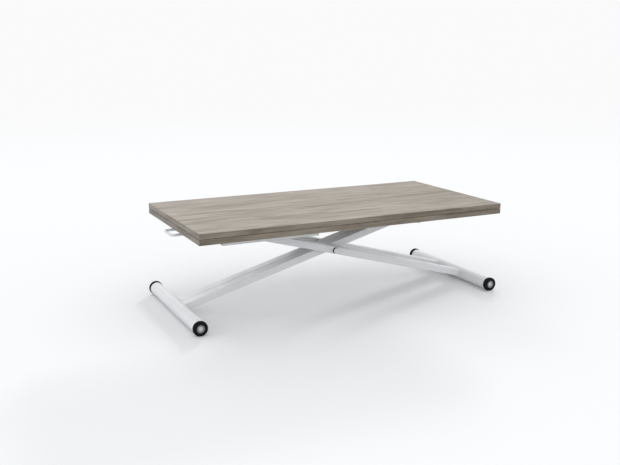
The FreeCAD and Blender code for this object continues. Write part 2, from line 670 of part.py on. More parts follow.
def build_runners():
    """Write the fixed and moving runners and the bolts under the frame."""
    rail_holes = Part.makeCompound(rail_screws(FIT))
    head_z = (bar_bottom - BOLT_HEAD_HEIGHT, bar_bottom)
    shank_z = (head_z[0], bar_top + RUNNER_WALL - FIT)
    bolts = []
    for x, place in ((-runner_x, "left"), (runner_x, "right")):
        save(f"{place}_fixed_runner", fixed_runner(x))
        save(f"{place}_moving_rail", moving_rail(x).cut(rail_holes))
        for bolt_x, bolt_y in bolt_places(x):
            head = rod_z(BOLT_HEAD_RADIUS, head_z, bolt_x, bolt_y)
            shank = rod_z(BOLT_RADIUS, shank_z, bolt_x, bolt_y)
            bolts.append(head.fuse(shank).removeSplitter())
    save("frame_bolts", *bolts)


# Folding top

def knuckle(x_range):
    """Return one length of a hinge barrel with its pin bore."""
    barrel = rod_x(KNUCKLE_RADIUS, x_range, fold_axis_y, fold_axis_z)
    return barrel.cut(rod_x(HINGE_PIN_RADIUS + FIT, x_range, fold_axis_y, fold_axis_z))


def barrel_parts(x):
    """Return the X limits of a hinge's three knuckles, with a little play between them."""
    third = HINGE_LENGTH / 6
    low = x - HINGE_LENGTH / 2
    high = x + HINGE_LENGTH / 2
    return ((low, x - third - KNUCKLE_PLAY), (x - third, x + third), (x + third + KNUCKLE_PLAY, high))


def hinge_plate(x, z_range, own, other):
    """Return a hinge plate with its own knuckles, cut back from the other plate's knuckles."""
    y_front = leaf_back_y - HINGE_PLATE_DEPTH
    plate = block((x - HINGE_LENGTH / 2, x + HINGE_LENGTH / 2), (y_front, fold_axis_y), z_range)
    pieces = [knuckle(x_range) for x_range in own]
    plate = plate.fuse(pieces)
    room = KNUCKLE_RADIUS + KNUCKLE_PLAY
    for x_range in other:
        wide = (x_range[0] - KNUCKLE_PLAY, x_range[1] + KNUCKLE_PLAY)
        plate = plate.cut(rod_x(room, wide, fold_axis_y, fold_axis_z))
    bore = (x - HINGE_LENGTH / 2 - PAST, x + HINGE_LENGTH / 2 + PAST)
    return plate.cut(rod_x(HINGE_PIN_RADIUS + FIT, bore, fold_axis_y, fold_axis_z)).removeSplitter()


def leaf(z_range, pocket_z):
    """Return a leaf with rounded edges, pockets for the hinge plates and room for their knuckles."""
    board = block((-TOP_LENGTH / 2, TOP_LENGTH / 2), (leaf_front_y, leaf_back_y), z_range)
    board = board.makeFillet(LEAF_EDGE_ROUND, board.Edges)
    cutters = []
    for x in hinge_places():
        half = HINGE_LENGTH / 2 + FIT
        y_front = leaf_back_y - HINGE_PLATE_DEPTH - FIT
        cutters.append(block((x - half, x + half), (y_front, leaf_back_y + PAST), pocket_z))
        room = (x - half - KNUCKLE_PLAY, x + half + KNUCKLE_PLAY)
        cutters.append(rod_x(KNUCKLE_RADIUS + KNUCKLE_PLAY, room, fold_axis_y, fold_axis_z))
    return board.cut(Part.makeCompound(cutters))


def build_top():
    """Write both leaves, their hinges, screws and bumper pads."""
    lower_plate_z = (lower_leaf_top - HINGE_PLATE_THICKNESS, lower_leaf_top)
    upper_plate_z = (upper_leaf_bottom, upper_leaf_bottom + HINGE_PLATE_THICKNESS)
    lower = leaf((top_underside, lower_leaf_top), (lower_plate_z[0], lower_leaf_top + PAST))
    upper = leaf((upper_leaf_bottom, top_z), (upper_leaf_bottom - PAST, upper_plate_z[1]))
    lower_holes = Part.makeCompound(rail_screws(FIT) + hinge_screws(lower_leaf_top, -1, FIT))
    upper_holes = Part.makeCompound(hinge_screws(upper_leaf_bottom, 1, FIT))
    save("lower_leaf", lower.cut(lower_holes))
    save("upper_leaf", upper.cut(upper_holes))
    lower_plates = []
    upper_plates = []
    pins = []
    for x in hinge_places():
        left, middle, right = barrel_parts(x)
        lower_plates.append(hinge_plate(x, lower_plate_z, (left, right), (middle,)).cut(lower_holes))
        upper_plates.append(hinge_plate(x, upper_plate_z, (middle,), (left, right)).cut(upper_holes))
        pins.append(rod_x(HINGE_PIN_RADIUS, (left[0], right[1]), fold_axis_y, fold_axis_z))
    save("lower_hinge_plates", *lower_plates)
    save("upper_hinge_plates", *upper_plates)
    save("leaf_hinge_pins", *pins)
    save("lower_leaf_screws", *(rail_screws(0) + hinge_screws(lower_leaf_top, -1, 0)))
    save("upper_leaf_screws", *hinge_screws(upper_leaf_bottom, 1, 0))
    reach = TOP_LENGTH / 2 - PAD_INSET
    pad_z = (lower_leaf_top, upper_leaf_bottom - PAD_PLAY)
    save("bumper_pads", *[rod_z(PAD_RADIUS, pad_z, x, leaf_front_y + PAD_INSET)
                          for x in spread(PAD_COUNT, -reach, reach)])


def main():
    """Write every piece, then print the places that the joints turn about."""
    os.makedirs("parts", exist_ok=True)
    build_foot("left", -FOOT_AXIS_X)
    build_foot("right", FOOT_AXIS_X)
    build_leg("a", leg_a_y, -FOOT_AXIS_X, REST_ANGLE, PIVOT_PIN_RADIUS + FIT, SHAFT_RADIUS + FIT)
    build_leg("b", leg_b_y, FOOT_AXIS_X, 180 - REST_ANGLE, bush_radius + FIT, shaft_bush_radius + FIT)
    build_pivot()
    build_hinge_shaft()
    build_slider()
    build_gas_spring()
    build_handle()
    build_frame()
    build_runners()
    build_top()
    print(f"pivot z {pivot_z:.3f}, upper x {upper_x:.3f} z {upper_z:.3f}, top z {top_z:.3f}")
    print(f"handle x {handle_x:.3f} z {handle_z:.3f}, fold y {fold_axis_y:.3f} z {fold_axis_z:.3f}")
    print(f"slider travel {slider_down_x:.2f} to {slider_up_x:.2f}, gland {gland_x:.2f}")
    print(f"underside of the top z {top_underside:.3f}")


main()
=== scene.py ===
"""Looks of a convertible coffee and dining table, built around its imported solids.

Metres, +Z up, in the frame of the solids: +X runs along the length, away from the release handle, and +Y
towards the edge where the leaves are hinged. Solids whose shape is right stay and get a finish. Turned,
moulded and roll-formed pieces are made again as finer surfaces, each in the place of its solid.
"""

import json
import logging
import math
from dataclasses import dataclass
from enum import Enum
from typing import Iterable, Sequence

import bpy
import numpy as np
import numpy.typing as npt
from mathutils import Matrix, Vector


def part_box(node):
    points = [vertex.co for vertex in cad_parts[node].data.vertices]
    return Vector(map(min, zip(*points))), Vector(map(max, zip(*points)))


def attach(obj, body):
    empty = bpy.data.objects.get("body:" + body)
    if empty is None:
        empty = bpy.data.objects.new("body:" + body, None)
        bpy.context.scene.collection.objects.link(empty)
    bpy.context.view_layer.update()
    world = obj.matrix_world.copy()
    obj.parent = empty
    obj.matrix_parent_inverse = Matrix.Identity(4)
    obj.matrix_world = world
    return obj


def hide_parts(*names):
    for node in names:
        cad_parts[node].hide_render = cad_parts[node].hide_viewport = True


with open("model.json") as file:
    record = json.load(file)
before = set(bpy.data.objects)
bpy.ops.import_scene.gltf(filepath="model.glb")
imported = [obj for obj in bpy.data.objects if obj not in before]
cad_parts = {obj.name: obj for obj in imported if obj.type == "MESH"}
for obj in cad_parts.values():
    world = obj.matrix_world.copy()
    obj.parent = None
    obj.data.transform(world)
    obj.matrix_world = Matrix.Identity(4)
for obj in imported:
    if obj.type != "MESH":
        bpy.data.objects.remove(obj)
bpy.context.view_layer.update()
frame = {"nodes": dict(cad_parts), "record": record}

LOG = logging.getLogger("table")
Points = npt.NDArray[np.float64]
Indices = npt.NDArray[np.int64]
Corner = tuple[float, float, float]
Triple = tuple[float, float, float]
Colour = tuple[float, float, float]
Range = tuple[float, float]
Socket = bpy.types.NodeSocket
Inputs = dict[str | int, object]

SMOOTH_ANGLE = math.radians(38)
TINY = 1e-7
WHITE = (1.0, 1.0, 1.0, 1.0)

# Half the width of a cross drive's arm, as a share of the arm's length
CROSS_ARM_SHARE = 0.24

# Where most of a noise's values lie, and the limits of a mask
NOISE_RANGE: Range = (0.3, 0.7)
MASK_RANGE: Range = (0.0, 1.0)

# Share of a normal along an axis above which the face looks that way
FACES_AXIS = 0.5


class Slot(Enum):
    """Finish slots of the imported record."""

    WOOD = "wood"
    WHITE_PAINT = "white_paint"
    TYRE = "tyre"
    HUB = "hub"
    AXLE_CAP = "axle_cap"
    STEEL = "steel"
    BLACK_PLASTIC = "black_plastic"
    BUSH = "bush"
    GAS_BLACK = "gas_black"
    ZINC = "zinc"
    PAD = "pad"


class Axis(Enum):
    """Axis that a section runs along or a profile turns about. Its section lies in the next two axes."""

    X = 0
    Y = 1
    Z = 2

    def basis(self) -> Points:
        """Return this axis and the two that follow it, as rows."""
        return np.roll(np.eye(3), -self.value, axis=0)


class Recess(Enum):
    """Drive in the face of a screw."""

    HEX = "hex"
    CROSS = "cross"

    def outline(self, turn: Points, size: float) -> Points:
        """Return the distance of the drive's edge from the middle at each angle.

        A hexagon's edge lies at its half width over the cosine of the angle from the nearest flat. A cross's
        edge is the nearer of an arm's end and an arm's side.

        Args:
            turn: Angles in radians.
            size: Half the width across flats, or the length of an arm.

        Returns:
            One distance for each angle.
        """
        if self is Recess.HEX:
            sixth = math.pi / 3
            return size / np.cos((turn + sixth / 2) % sixth - sixth / 2)
        quarter = (turn + math.pi / 4) % (math.pi / 2) - math.pi / 4
        side = CROSS_ARM_SHARE * size / np.maximum(np.abs(np.sin(quarter)), TINY)
        return np.minimum(size / np.cos(quarter), side)


class Side(Enum):
    """End of the table that a foot stands at."""

    LEFT = "left"
    RIGHT = "right"

    @property
    def leg(self) -> str:
        """Return the body of the leg that is welded to this foot."""
        return "leg_a" if self is Side.LEFT else "leg_b"

    @property
    def axle(self) -> str:
        """Return the body that carries this foot's axle."""
        return "left_axle" if self is Side.LEFT else "leg_b"


class FootEnd(Enum):
    """End of a foot that a wheel runs at."""

    FRONT = "front"
    BACK = "back"

    @property
    def outside(self) -> float:
        """Return the direction along Y that the wheel's outer face looks to."""
        return -1.0 if self is FootEnd.FRONT else 1.0


class Pointing(Enum):
    """Direction of a screw's shank along Z."""

    UP = 1.0
    DOWN = -1.0


class Blend(Enum):
    """Kind of a Mix node, with the places of its two inputs and of its output."""

    VALUE = ("FLOAT", 2, 3, 0)
    VECTOR = ("VECTOR", 4, 5, 1)
    COLOUR = ("RGBA", 6, 7, 2)


# Surfaces

@dataclass(frozen=True)
class Shell:
    """A closed surface: its points and the corner indices of its quads, pole triangles and end faces."""

    points: Points
    quads: Indices
    triangles: Indices
    ends: Indices

    def volume(self) -> float:
        """Return the signed volume: a sixth of the sum of the triple products of all triangles' corners.

        Returns:
            The volume, above 0 where the faces point outwards.
        """
        fans = [np.stack([np.full(row.size - 2, row[0]), row[1:-1], row[2:]], axis=1) for row in self.ends]
        halves = [self.quads[:, [0, 1, 2]], self.quads[:, [0, 2, 3]]]
        corners = np.concatenate([*halves, self.triangles, *fans])
        a, b, c = (self.points[corners[:, place]] for place in range(3))
        return float(np.einsum("ij,ij->", a, np.cross(b, c)) / 6)

    def faces(self) -> list[list[int]]:
        """Return every face with its normal pointing outwards.

        Returns:
            The corner indices of each face.
        """
        order = 1 if self.volume() > 0 else -1
        groups = (self.quads, self.triangles, self.ends)
        return [face for group in groups for face in group[:, ::order].tolist()]


NO_FACES = np.empty((0, 3), dtype=np.int64)


def grid_quads(rows: int, columns: int, closed: bool) -> Indices:
    """Return the quads of a grid of points whose columns close on themselves.

    Args:
        rows: Number of rows.
        columns: Number of points in a row.
        closed: Whether the last row joins the first.

    Returns:
        Four corner indices for each quad.
    """
    row, column = np.meshgrid(np.arange(rows if closed else rows - 1), np.arange(columns), indexing="ij")
    next_row = (row + 1) % rows
    next_column = (column + 1) % columns
    corners = [row * columns + column, row * columns + next_column,
               next_row * columns + next_column, next_row * columns + column]
    return np.stack(corners, axis=-1).reshape(-1, 4)


def alike(corners: Iterable[tuple[float, float]], radius: float) -> list[Corner]:
    """Return corners that all have the same radius."""
    return [(*corner, radius) for corner in corners]


def both_halves(half: list[Corner]) -> list[Corner]:
    """Return the corners of a whole outline: its half, and that half mirrored in the second coordinate."""
    return half + [(first, -second, radius) for first, second, radius in reversed(half)]


def rounded(corners: Sequence[Corner], steps: int = 6) -> Points:
    """Return a closed outline whose corners are rounded.

    Each corner gives way to a parabola that starts and ends at the radius from it along its two sides: the
    sum of start, corner and end weighted by the squares and the double product of 1 - t and t.

    Args:
        corners: Two coordinates and the radius of each corner, in order.
        steps: Points on each rounded corner.

    Returns:
        The points of the outline, one row each.
    """
    given = np.asarray(corners, dtype=float)
    middle = given[:, :2]
    reach = given[:, 2:]
    to_last = np.roll(middle, 1, axis=0) - middle
    to_next = np.roll(middle, -1, axis=0) - middle
    start = middle + reach * to_last / np.linalg.norm(to_last, axis=1, keepdims=True)
    end = middle + reach * to_next / np.linalg.norm(to_next, axis=1, keepdims=True)
    t = np.linspace(0, 1, steps)[None, :, None]
    curve = (1 - t) ** 2 * start[:, None] + 2 * t * (1 - t) * middle[:, None] + t**2 * end[:, None]
    outline = curve.reshape(-1, 2)
    apart = np.linalg.norm(outline - np.roll(outline, 1, axis=0), axis=1) > TINY
    return outline[apart]


def outward(outline: Points) -> Points:
    """Return the unit normals of a closed outline: its central differences turned by a quarter turn.

    Args:
        outline: Points of the outline.

    Returns:
        One normal for each point.
    """
    along = np.roll(outline, -1, axis=0) - np.roll(outline, 1, axis=0)
    normal = np.stack([along[:, 1], -along[:, 0]], axis=1)
    following = np.roll(outline, -1, axis=0)
    area = np.sum(outline[:, 0] * following[:, 1] - following[:, 0] * outline[:, 1])
    return math.copysign(1, area) * normal / np.linalg.norm(normal, axis=1, keepdims=True)


def evenly(outline: Points, count: int) -> Points:
    """Return a closed outline as evenly spaced points, by linear interpolation of its running length.

    Args:
        outline: Points of the outline.
        count: Number of points to return.

    Returns:
        The new points.
    """
    loop = np.concatenate([outline, outline[:1]])
    length = np.concatenate([[0.0], np.cumsum(np.linalg.norm(np.diff(loop, axis=0), axis=1))])
    places = np.arange(count) * (length[-1] / count)
    return np.stack([np.interp(places, length, loop[:, column]) for column in range(2)], axis=1)


def turned(profile: Points, spot: Sequence[float], axis: Axis, steps: int = 96, ring: bool = False) -> Shell:
    """Return a surface of revolution.

    The point at angle u of profile row v is the spot, plus the row's distance along the axis, plus its
    distance from the axis times the cosine and the sine of u along the next two axes.

    Args:
        profile: Rows of a distance along the axis and a distance from it, or one of these for each angle.
        spot: Point on the axis that the distances start from.
        axis: Axis of the turning.
        steps: Points around the axis.
        ring: Whether the profile is a closed loop clear of the axis. Otherwise its ends lie on the axis.

    Returns:
        The closed surface.
    """
    turn = np.arange(steps) * (2 * math.pi / steps)
    main, first, second = axis.basis()
    around = np.cos(turn)[:, None] * first + np.sin(turn)[:, None] * second
    along = profile[:, 0]
    radius = np.broadcast_to(profile[:, 1:], (len(profile), steps))
    grid = np.asarray(spot, dtype=float) + along[:, None, None] * main + radius[:, :, None] * around[None]
    if ring:
        return Shell(grid.reshape(-1, 3), grid_quads(len(grid), steps, True), NO_FACES, NO_FACES)
    inner = grid[1:-1].reshape(-1, 3)
    points = np.concatenate([inner, grid[0, :1], grid[-1, :1]])
    place = np.arange(steps)
    following = (place + 1) % steps
    last_row = len(inner) - steps
    first_fan = np.stack([np.full(steps, len(inner)), following, place], axis=1)
    last_fan = np.stack([last_row + place, last_row + following, np.full(steps, len(inner) + 1)], axis=1)
    quads = grid_quads(len(grid) - 2, steps, False)
    return Shell(points, quads, np.concatenate([first_fan, last_fan]), NO_FACES)


def at_both_ends(profile: Points, spot: Sequence[float], steps: int = 96) -> list[Shell]:
    """Return a profile turned about Y, and its mirror image on the other side of the spot."""
    return [turned(profile * np.array([end, 1.0]), spot, Axis.Y, steps) for end in (-1.0, 1.0)]


def drawn(outline: Points, axis: Axis, span: Range, chamfer: float = 0.0004) -> Shell:
    """Return a section carried along a straight line, with chamfered ends.

    Row v of the grid is the outline at one place along the axis; the first and the last row are drawn in by
    the chamfer along the outline's normals.

    Args:
        outline: Closed outline in the two axes that follow the main one.
        axis: Axis that the section runs along.
        span: Start and end along that axis.
        chamfer: Size of the chamfer at both ends.

    Returns:
        The closed surface.
    """
    main, first, second = axis.basis()
    inset = outline - chamfer * outward(outline)
    rows = np.stack([inset, outline, outline, inset])
    along = np.array([span[0], span[0] + chamfer, span[1] - chamfer, span[1]])
    grid = along[:, None, None] * main + rows[:, :, :1] * first + rows[:, :, 1:] * second
    count = len(outline)
    last_row = (len(rows) - 1) * count
    ends = np.stack([np.arange(count)[::-1], last_row + np.arange(count)])
    return Shell(grid.reshape(-1, 3), grid_quads(len(rows), count, False), NO_FACES, ends)


def bead(path: Points, first: Points, second: Points, radius: Points, sides: int = 14) -> Shell:
    """Return a closed bead along a closed path.

    The point at angle u of path point v is that point, plus its radius times the cosine of u along the first
    direction and the sine of u along the second.

    Args:
        path: Points of the closed path.
        first: First direction of the section at each point.
        second: Second direction of the section at each point.
        radius: Radius of the section at each point.
        sides: Points around the section.

    Returns:
        The closed surface.
    """
    turn = np.arange(sides) * (2 * math.pi / sides)
    section = np.cos(turn)[None, :, None] * first[:, None] + np.sin(turn)[None, :, None] * second[:, None]
    grid = path[:, None] + radius[:, None, None] * section
    return Shell(grid.reshape(-1, 3), grid_quads(len(path), sides, True), NO_FACES, NO_FACES)


@dataclass(frozen=True)
class Extent:
    """The box of a solid: its lowest and its highest corner, its middle and half its size."""

    low: Points
    high: Points
    middle: Points
    half: Points

    def span(self, axis: Axis) -> Range:
        """Return where the box starts and ends along an axis."""
        return self.low[axis.value], self.high[axis.value]


def extent(node: str) -> Extent:
    """Return the box of a solid."""
    low, high = (np.array(corner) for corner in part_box(node))
    return Extent(low, high, (low + high) / 2, (high - low) / 2)


def spread(count: int, reach: float) -> Points:
    """Return evenly spaced places from minus the reach to the reach."""
    return np.linspace(-reach, reach, count)


def new_object(name: str, data: bpy.types.ID) -> bpy.types.Object:
    """Return a new object that is linked to the scene.

    Args:
        name: Name of the object.
        data: Its mesh, camera or lamp.

    Returns:
        The object, at the origin.
    """
    item = bpy.data.objects.new(name, data)
    bpy.context.scene.collection.objects.link(item)
    return item


# Shader graphs

class Graph:
    """A shader graph that is built by adding nodes whose inputs are values or other nodes' outputs."""

    def __init__(self, tree: bpy.types.NodeTree) -> None:
        """Keep the tree and clear it."""
        self.tree = tree
        self.tree.nodes.clear()

    def add(self, kind: str, inputs: Inputs | None = None, **settings: object) -> bpy.types.Node:
        """Add a node.

        Args:
            kind: Blender's name of the node.
            inputs: Values or output sockets for the node's inputs, by name or place.
            **settings: Properties of the node.

        Returns:
            The new node.
        """
        node = self.tree.nodes.new(kind)
        for name, value in settings.items():
            setattr(node, name, value)
        for name, value in (inputs or {}).items():
            if isinstance(value, Socket):
                self.tree.links.new(value, node.inputs[name])
            else:
                node.inputs[name].default_value = value
        return node

    def math(self, operation: str, first: Socket | float, second: Socket | float = 0.0) -> Socket:
        """Return the output of a Math node."""
        return self.add("ShaderNodeMath", {0: first, 1: second}, operation=operation).outputs[0]

    def vector(self, operation: str, first: Socket, second: Socket | Triple) -> Socket:
        """Return the vector that a Vector Math node puts out."""
        return self.add("ShaderNodeVectorMath", {0: first, 1: second}, operation=operation).outputs[0]

    def split(self, vector: Socket) -> dict[str, Socket]:
        """Return the X, Y and Z of a vector by name."""
        return dict(self.add("ShaderNodeSeparateXYZ", {0: vector}).outputs.items())

    def joined(self, **parts: Socket) -> Socket:
        """Return the vector of the given X, Y and Z, with 0 for each that is left out."""
        return self.add("ShaderNodeCombineXYZ", parts).outputs[0]

    def noise(self, vector: Socket, scale: Socket | float = 1.0, detail: float = 2.0,
              rough: float = 0.5) -> Socket:
        """Return the value of a Noise texture."""
        inputs = {"Vector": vector, "Scale": scale, "Detail": detail, "Roughness": rough}
        return self.add("ShaderNodeTexNoise", inputs).outputs["Fac"]

    def ramp(self, value: Socket, source: Range, target: Range = MASK_RANGE) -> Socket:
        """Return a value carried smoothly from one range to another and held outside it.

        Args:
            value: The value.
            source: Range that it comes from.
            target: Range that it is carried to.

        Returns:
            The new value.
        """
        inputs = {"Value": value, "From Min": source[0], "From Max": source[1],
                  "To Min": target[0], "To Max": target[1]}
        return self.add("ShaderNodeMapRange", inputs, interpolation_type="SMOOTHSTEP").outputs[0]

    def blend(self, kind: Blend, factor: Socket, first: object, second: object) -> Socket:
        """Return one value, vector or colour mixed into another of its kind.

        Args:
            kind: What is mixed.
            factor: Share of the second.
            first: The first value or socket.
            second: The second value or socket.

        Returns:
            The mixed output.
        """
        data_type, first_place, second_place, output = kind.value
        inputs = {"Factor": factor, first_place: first, second_place: second}
        return self.add("ShaderNodeMix", inputs, data_type=data_type).outputs[output]

    def mix(self, factor: Socket, first: Socket | Colour, second: Socket | Colour) -> Socket:
        """Return one colour mixed into another."""
        pair = [colour if isinstance(colour, Socket) else (*colour, 1.0) for colour in (first, second)]
        return self.blend(Blend.COLOUR, factor, *pair)

    def group(self, tree: bpy.types.NodeTree, inputs: Inputs) -> dict[str, Socket]:
        """Place a node group with its own values, and return its outputs by name."""
        return dict(self.add("ShaderNodeGroup", inputs, node_tree=tree).outputs.items())


def new_group(name: str, inputs: dict[str, str], outputs: Iterable[str]) -> tuple[Graph, dict[str, Socket]]:
    """Start a shader node group.

    Args:
        name: Name of the group.
        inputs: Socket type of each input by its name.
        outputs: Name of each output, all values.

    Returns:
        The group's graph and its input sockets by name.
    """
    tree = bpy.data.node_groups.new(name, "ShaderNodeTree")
    graph = Graph(tree)
    for label, kind in inputs.items():
        tree.interface.new_socket(label, in_out="INPUT", socket_type=kind)
    for label in outputs:
        tree.interface.new_socket(label, in_out="OUTPUT", socket_type="NodeSocketFloat")
    entry = graph.add("NodeGroupInput")
    return graph, {label: entry.outputs[label] for label in inputs}


@dataclass(frozen=True)
class GrainLayer:
    """Noise that is drawn out along the grain: its scales along and across it, and its detail."""

    along: float
    across: float
    detail: float
    rough: float = 0.5

    def value(self, graph: Graph, vector: Socket) -> Socket:
        """Return the value of the layer at a place."""
        stretched = graph.vector("MULTIPLY", vector, (self.along, self.across, self.across))
        return graph.noise(stretched, detail=self.detail, rough=self.rough)


@dataclass(frozen=True)
class Grain:
    """Oak grain that runs along X: broad zones, bands, streaks and flecks that sway, and fine pores."""

    broad: GrainLayer = GrainLayer(1.3, 7.0, 2.0)
    sway: GrainLayer = GrainLayer(2.6, 6.0, 1.0)
    streak: GrainLayer = GrainLayer(5.0, 95.0, 5.0, 0.66)
    band: GrainLayer = GrainLayer(4.0, 38.0, 4.0, 0.6)
    fleck: GrainLayer = GrainLayer(9.0, 52.0, 3.0)
    pore: GrainLayer = GrainLayer(30.0, 1300.0, 1.0)
    noise_middle: float = 0.5
    sway_reach: float = 0.040
    broad_share: float = 0.28
    streak_share: float = 0.40
    band_share: float = 0.32
    fleck_range: Range = (0.55, 0.70)
    pore_range: Range = (0.58, 0.74)
    pore_streaks: Range = (0.35, 0.65)

    def group(self) -> bpy.types.NodeTree:
        """Return a node group with the tone of the wood and the masks of its pores and flecks.

        The tone is the sum of the broad zones, streaks and bands, each times its share.

        Returns:
            The node group.
        """
        graph, given = new_group("oak_grain", {"Vector": "NodeSocketVector"}, ("Tone", "Pore", "Fleck"))
        vector = given["Vector"]
        sway = graph.math("SUBTRACT", self.sway.value(graph, vector), self.noise_middle)
        wavy = graph.vector("ADD", vector, graph.joined(Y=graph.math("MULTIPLY", sway, self.sway_reach)))
        streak = self.streak.value(graph, wavy)
        tone = graph.math("MULTIPLY", self.broad.value(graph, vector), self.broad_share)
        tone = graph.math("ADD", tone, graph.math("MULTIPLY", streak, self.streak_share))
        tone = graph.math("ADD", tone, graph.math("MULTIPLY", self.band.value(graph, wavy), self.band_share))
        pore = graph.ramp(self.pore.value(graph, wavy), self.pore_range)
        graph.add("NodeGroupOutput", {
            "Tone": tone,
            "Pore": graph.math("MULTIPLY", pore, graph.ramp(streak, self.pore_streaks)),
            "Fleck": graph.ramp(self.fleck.value(graph, wavy), self.fleck_range),
        })
        return graph.tree


def texture_group() -> bpy.types.NodeTree:
    """Return a node group with the fine relief and the broad mottling of a painted or moulded surface.

    Returns:
        The node group.
    """
    inputs = {"Vector": "NodeSocketVector", "Fine": "NodeSocketFloat", "Broad": "NodeSocketFloat"}
    graph, given = new_group("fine_texture", inputs, ("Relief", "Mottle"))
    relief = graph.noise(given["Vector"], given["Fine"], detail=2.0)
    mottle = graph.ramp(graph.noise(given["Vector"], given["Broad"], detail=4.0, rough=0.6), NOISE_RANGE)
    graph.add("NodeGroupOutput", {"Relief": relief, "Mottle": mottle})
    return graph.tree


def lines_group() -> bpy.types.NodeTree:
    """Return a node group with the fine lines that drawing, rolling or turning leaves on metal.

    Returns:
        The node group.
    """
    inputs = {"Vector": "NodeSocketVector", "Stretch": "NodeSocketVector"}
    graph, given = new_group("drawn_lines", inputs, ("Lines",))
    stretched = graph.vector("MULTIPLY", given["Vector"], given["Stretch"])
    graph.add("NodeGroupOutput", {"Lines": graph.noise(stretched, detail=4.0, rough=0.7)})
    return graph.tree


# Finishes

@dataclass(frozen=True)
class Groups:
    """The shader node groups that the finishes share."""

    grain: bpy.types.NodeTree
    texture: bpy.types.NodeTree
    lines: bpy.types.NodeTree


def new_material(name: str) -> tuple[bpy.types.Material, Graph]:
    """Return a new material and its empty graph.

    Args:
        name: Name of the material.

    Returns:
        The material and its graph.
    """
    material = bpy.data.materials.new(name)
    material.use_nodes = True
    return material, Graph(material.node_tree)


def object_place(graph: Graph) -> Socket:
    """Return the Object coordinates of a material."""
    return graph.add("ShaderNodeTexCoord").outputs["Object"]


def raised(graph: Graph, height: Socket, strength: float, distance: float) -> Socket:
    """Return the normal of a surface that a height raises."""
    inputs = {"Strength": strength, "Distance": distance, "Height": height}
    return graph.add("ShaderNodeBump", inputs).outputs["Normal"]


def close_material(graph: Graph, inputs: Inputs) -> None:
    """Add the surface shader with its inputs, and the output."""
    shader = graph.add("ShaderNodeBsdfPrincipled", inputs)
    graph.add("ShaderNodeOutputMaterial", {"Surface": shader.outputs[0]})


@dataclass(frozen=True)
class WoodFinish:
    """Taupe oak board: grain along the length and along the edge bands, fine pores, and painted shade on the
    sides.
    """

    name: str
    board: str
    shift: Triple = (0.0, 0.0, 0.0)
    pale: Colour = (0.422, 0.370, 0.303)
    dark: Colour = (0.198, 0.161, 0.120)
    fleck: Colour = (0.165, 0.134, 0.100)
    pore: Colour = (0.125, 0.102, 0.076)
    joint: Colour = (0.110, 0.092, 0.070)
    # Factor that darkens every side face of the board: painted shade
    painted_side_shade: Colour = (0.67, 0.66, 0.64)
    tone_range: Range = (0.36, 0.64)
    fleck_share: float = 0.50
    pore_share: float = 0.55
    joint_share: float = 0.70
    rough: Range = (0.36, 0.46)
    gloss: float = 0.30
    strength: float = 0.25
    depth: float = 0.00012
    band_thickness: float = 0.0012
    joint_width: float = 0.00016

    def joint_line(self, graph: Graph, place: Socket, flat: Socket) -> Socket:
        """Return a mask of the thin joint between the board's faces and its edge bands.

        Args:
            graph: The material's graph.
            place: Object coordinates.
            flat: How far the surface faces up or down, the size of its normal's Z.

        Returns:
            The mask.
        """
        box = extent(self.board)
        centred = graph.split(graph.vector("SUBTRACT", place, tuple(box.middle)))
        margins = [graph.math("SUBTRACT", float(half), graph.math("ABSOLUTE", centred[axis]))
                   for axis, half in zip("XY", box.half)]
        from_edge = graph.math("MINIMUM", *margins)
        off = graph.math("ABSOLUTE", graph.math("SUBTRACT", from_edge, self.band_thickness))
        line = graph.ramp(off, (self.joint_width / 2, self.joint_width), MASK_RANGE[::-1])
        return graph.math("MULTIPLY", line, graph.math("GREATER_THAN", flat, FACES_AXIS))

    def material(self, groups: Groups) -> bpy.types.Material:
        """Return the material, whose grain turns to run along the board's end faces too.

        Args:
            groups: The shared node groups.

        Returns:
            The material.
        """
        material, graph = new_material(self.name)
        coordinates = graph.add("ShaderNodeTexCoord")
        place = coordinates.outputs["Object"]
        normal = graph.split(coordinates.outputs["Normal"])
        end_face = graph.math("GREATER_THAN", graph.math("ABSOLUTE", normal["X"]), FACES_AXIS)
        flat = graph.math("ABSOLUTE", normal["Z"])
        moved = graph.vector("ADD", place, self.shift)
        parts = graph.split(moved)
        crossed = graph.joined(X=parts["Y"], Y=parts["X"], Z=parts["Z"])
        along = graph.blend(Blend.VECTOR, end_face, moved, crossed)
        grain = graph.group(groups.grain, {"Vector": along})
        line = self.joint_line(graph, place, flat)
        colour = graph.mix(graph.ramp(grain["Tone"], self.tone_range), self.pale, self.dark)
        colour = graph.mix(graph.math("MULTIPLY", grain["Fleck"], self.fleck_share), colour, self.fleck)
        colour = graph.mix(graph.math("MULTIPLY", grain["Pore"], self.pore_share), colour, self.pore)
        # Side faces take the colour times the factor above: painted shade where less light reaches them
        shaded_side = graph.math("LESS_THAN", flat, FACES_AXIS)
        colour = graph.mix(shaded_side, colour, graph.vector("MULTIPLY", colour, self.painted_side_shade))
        colour = graph.mix(graph.math("MULTIPLY", line, self.joint_share), colour, self.joint)
        height = graph.math("SUBTRACT", 1.0, graph.math("MAXIMUM", grain["Pore"], line))
        close_material(graph, {
            "Base Color": colour,
            "Roughness": graph.ramp(grain["Tone"], NOISE_RANGE, self.rough),
            "Specular IOR Level": self.gloss,
            "Normal": raised(graph, height, self.strength, self.depth),
        })
        return material


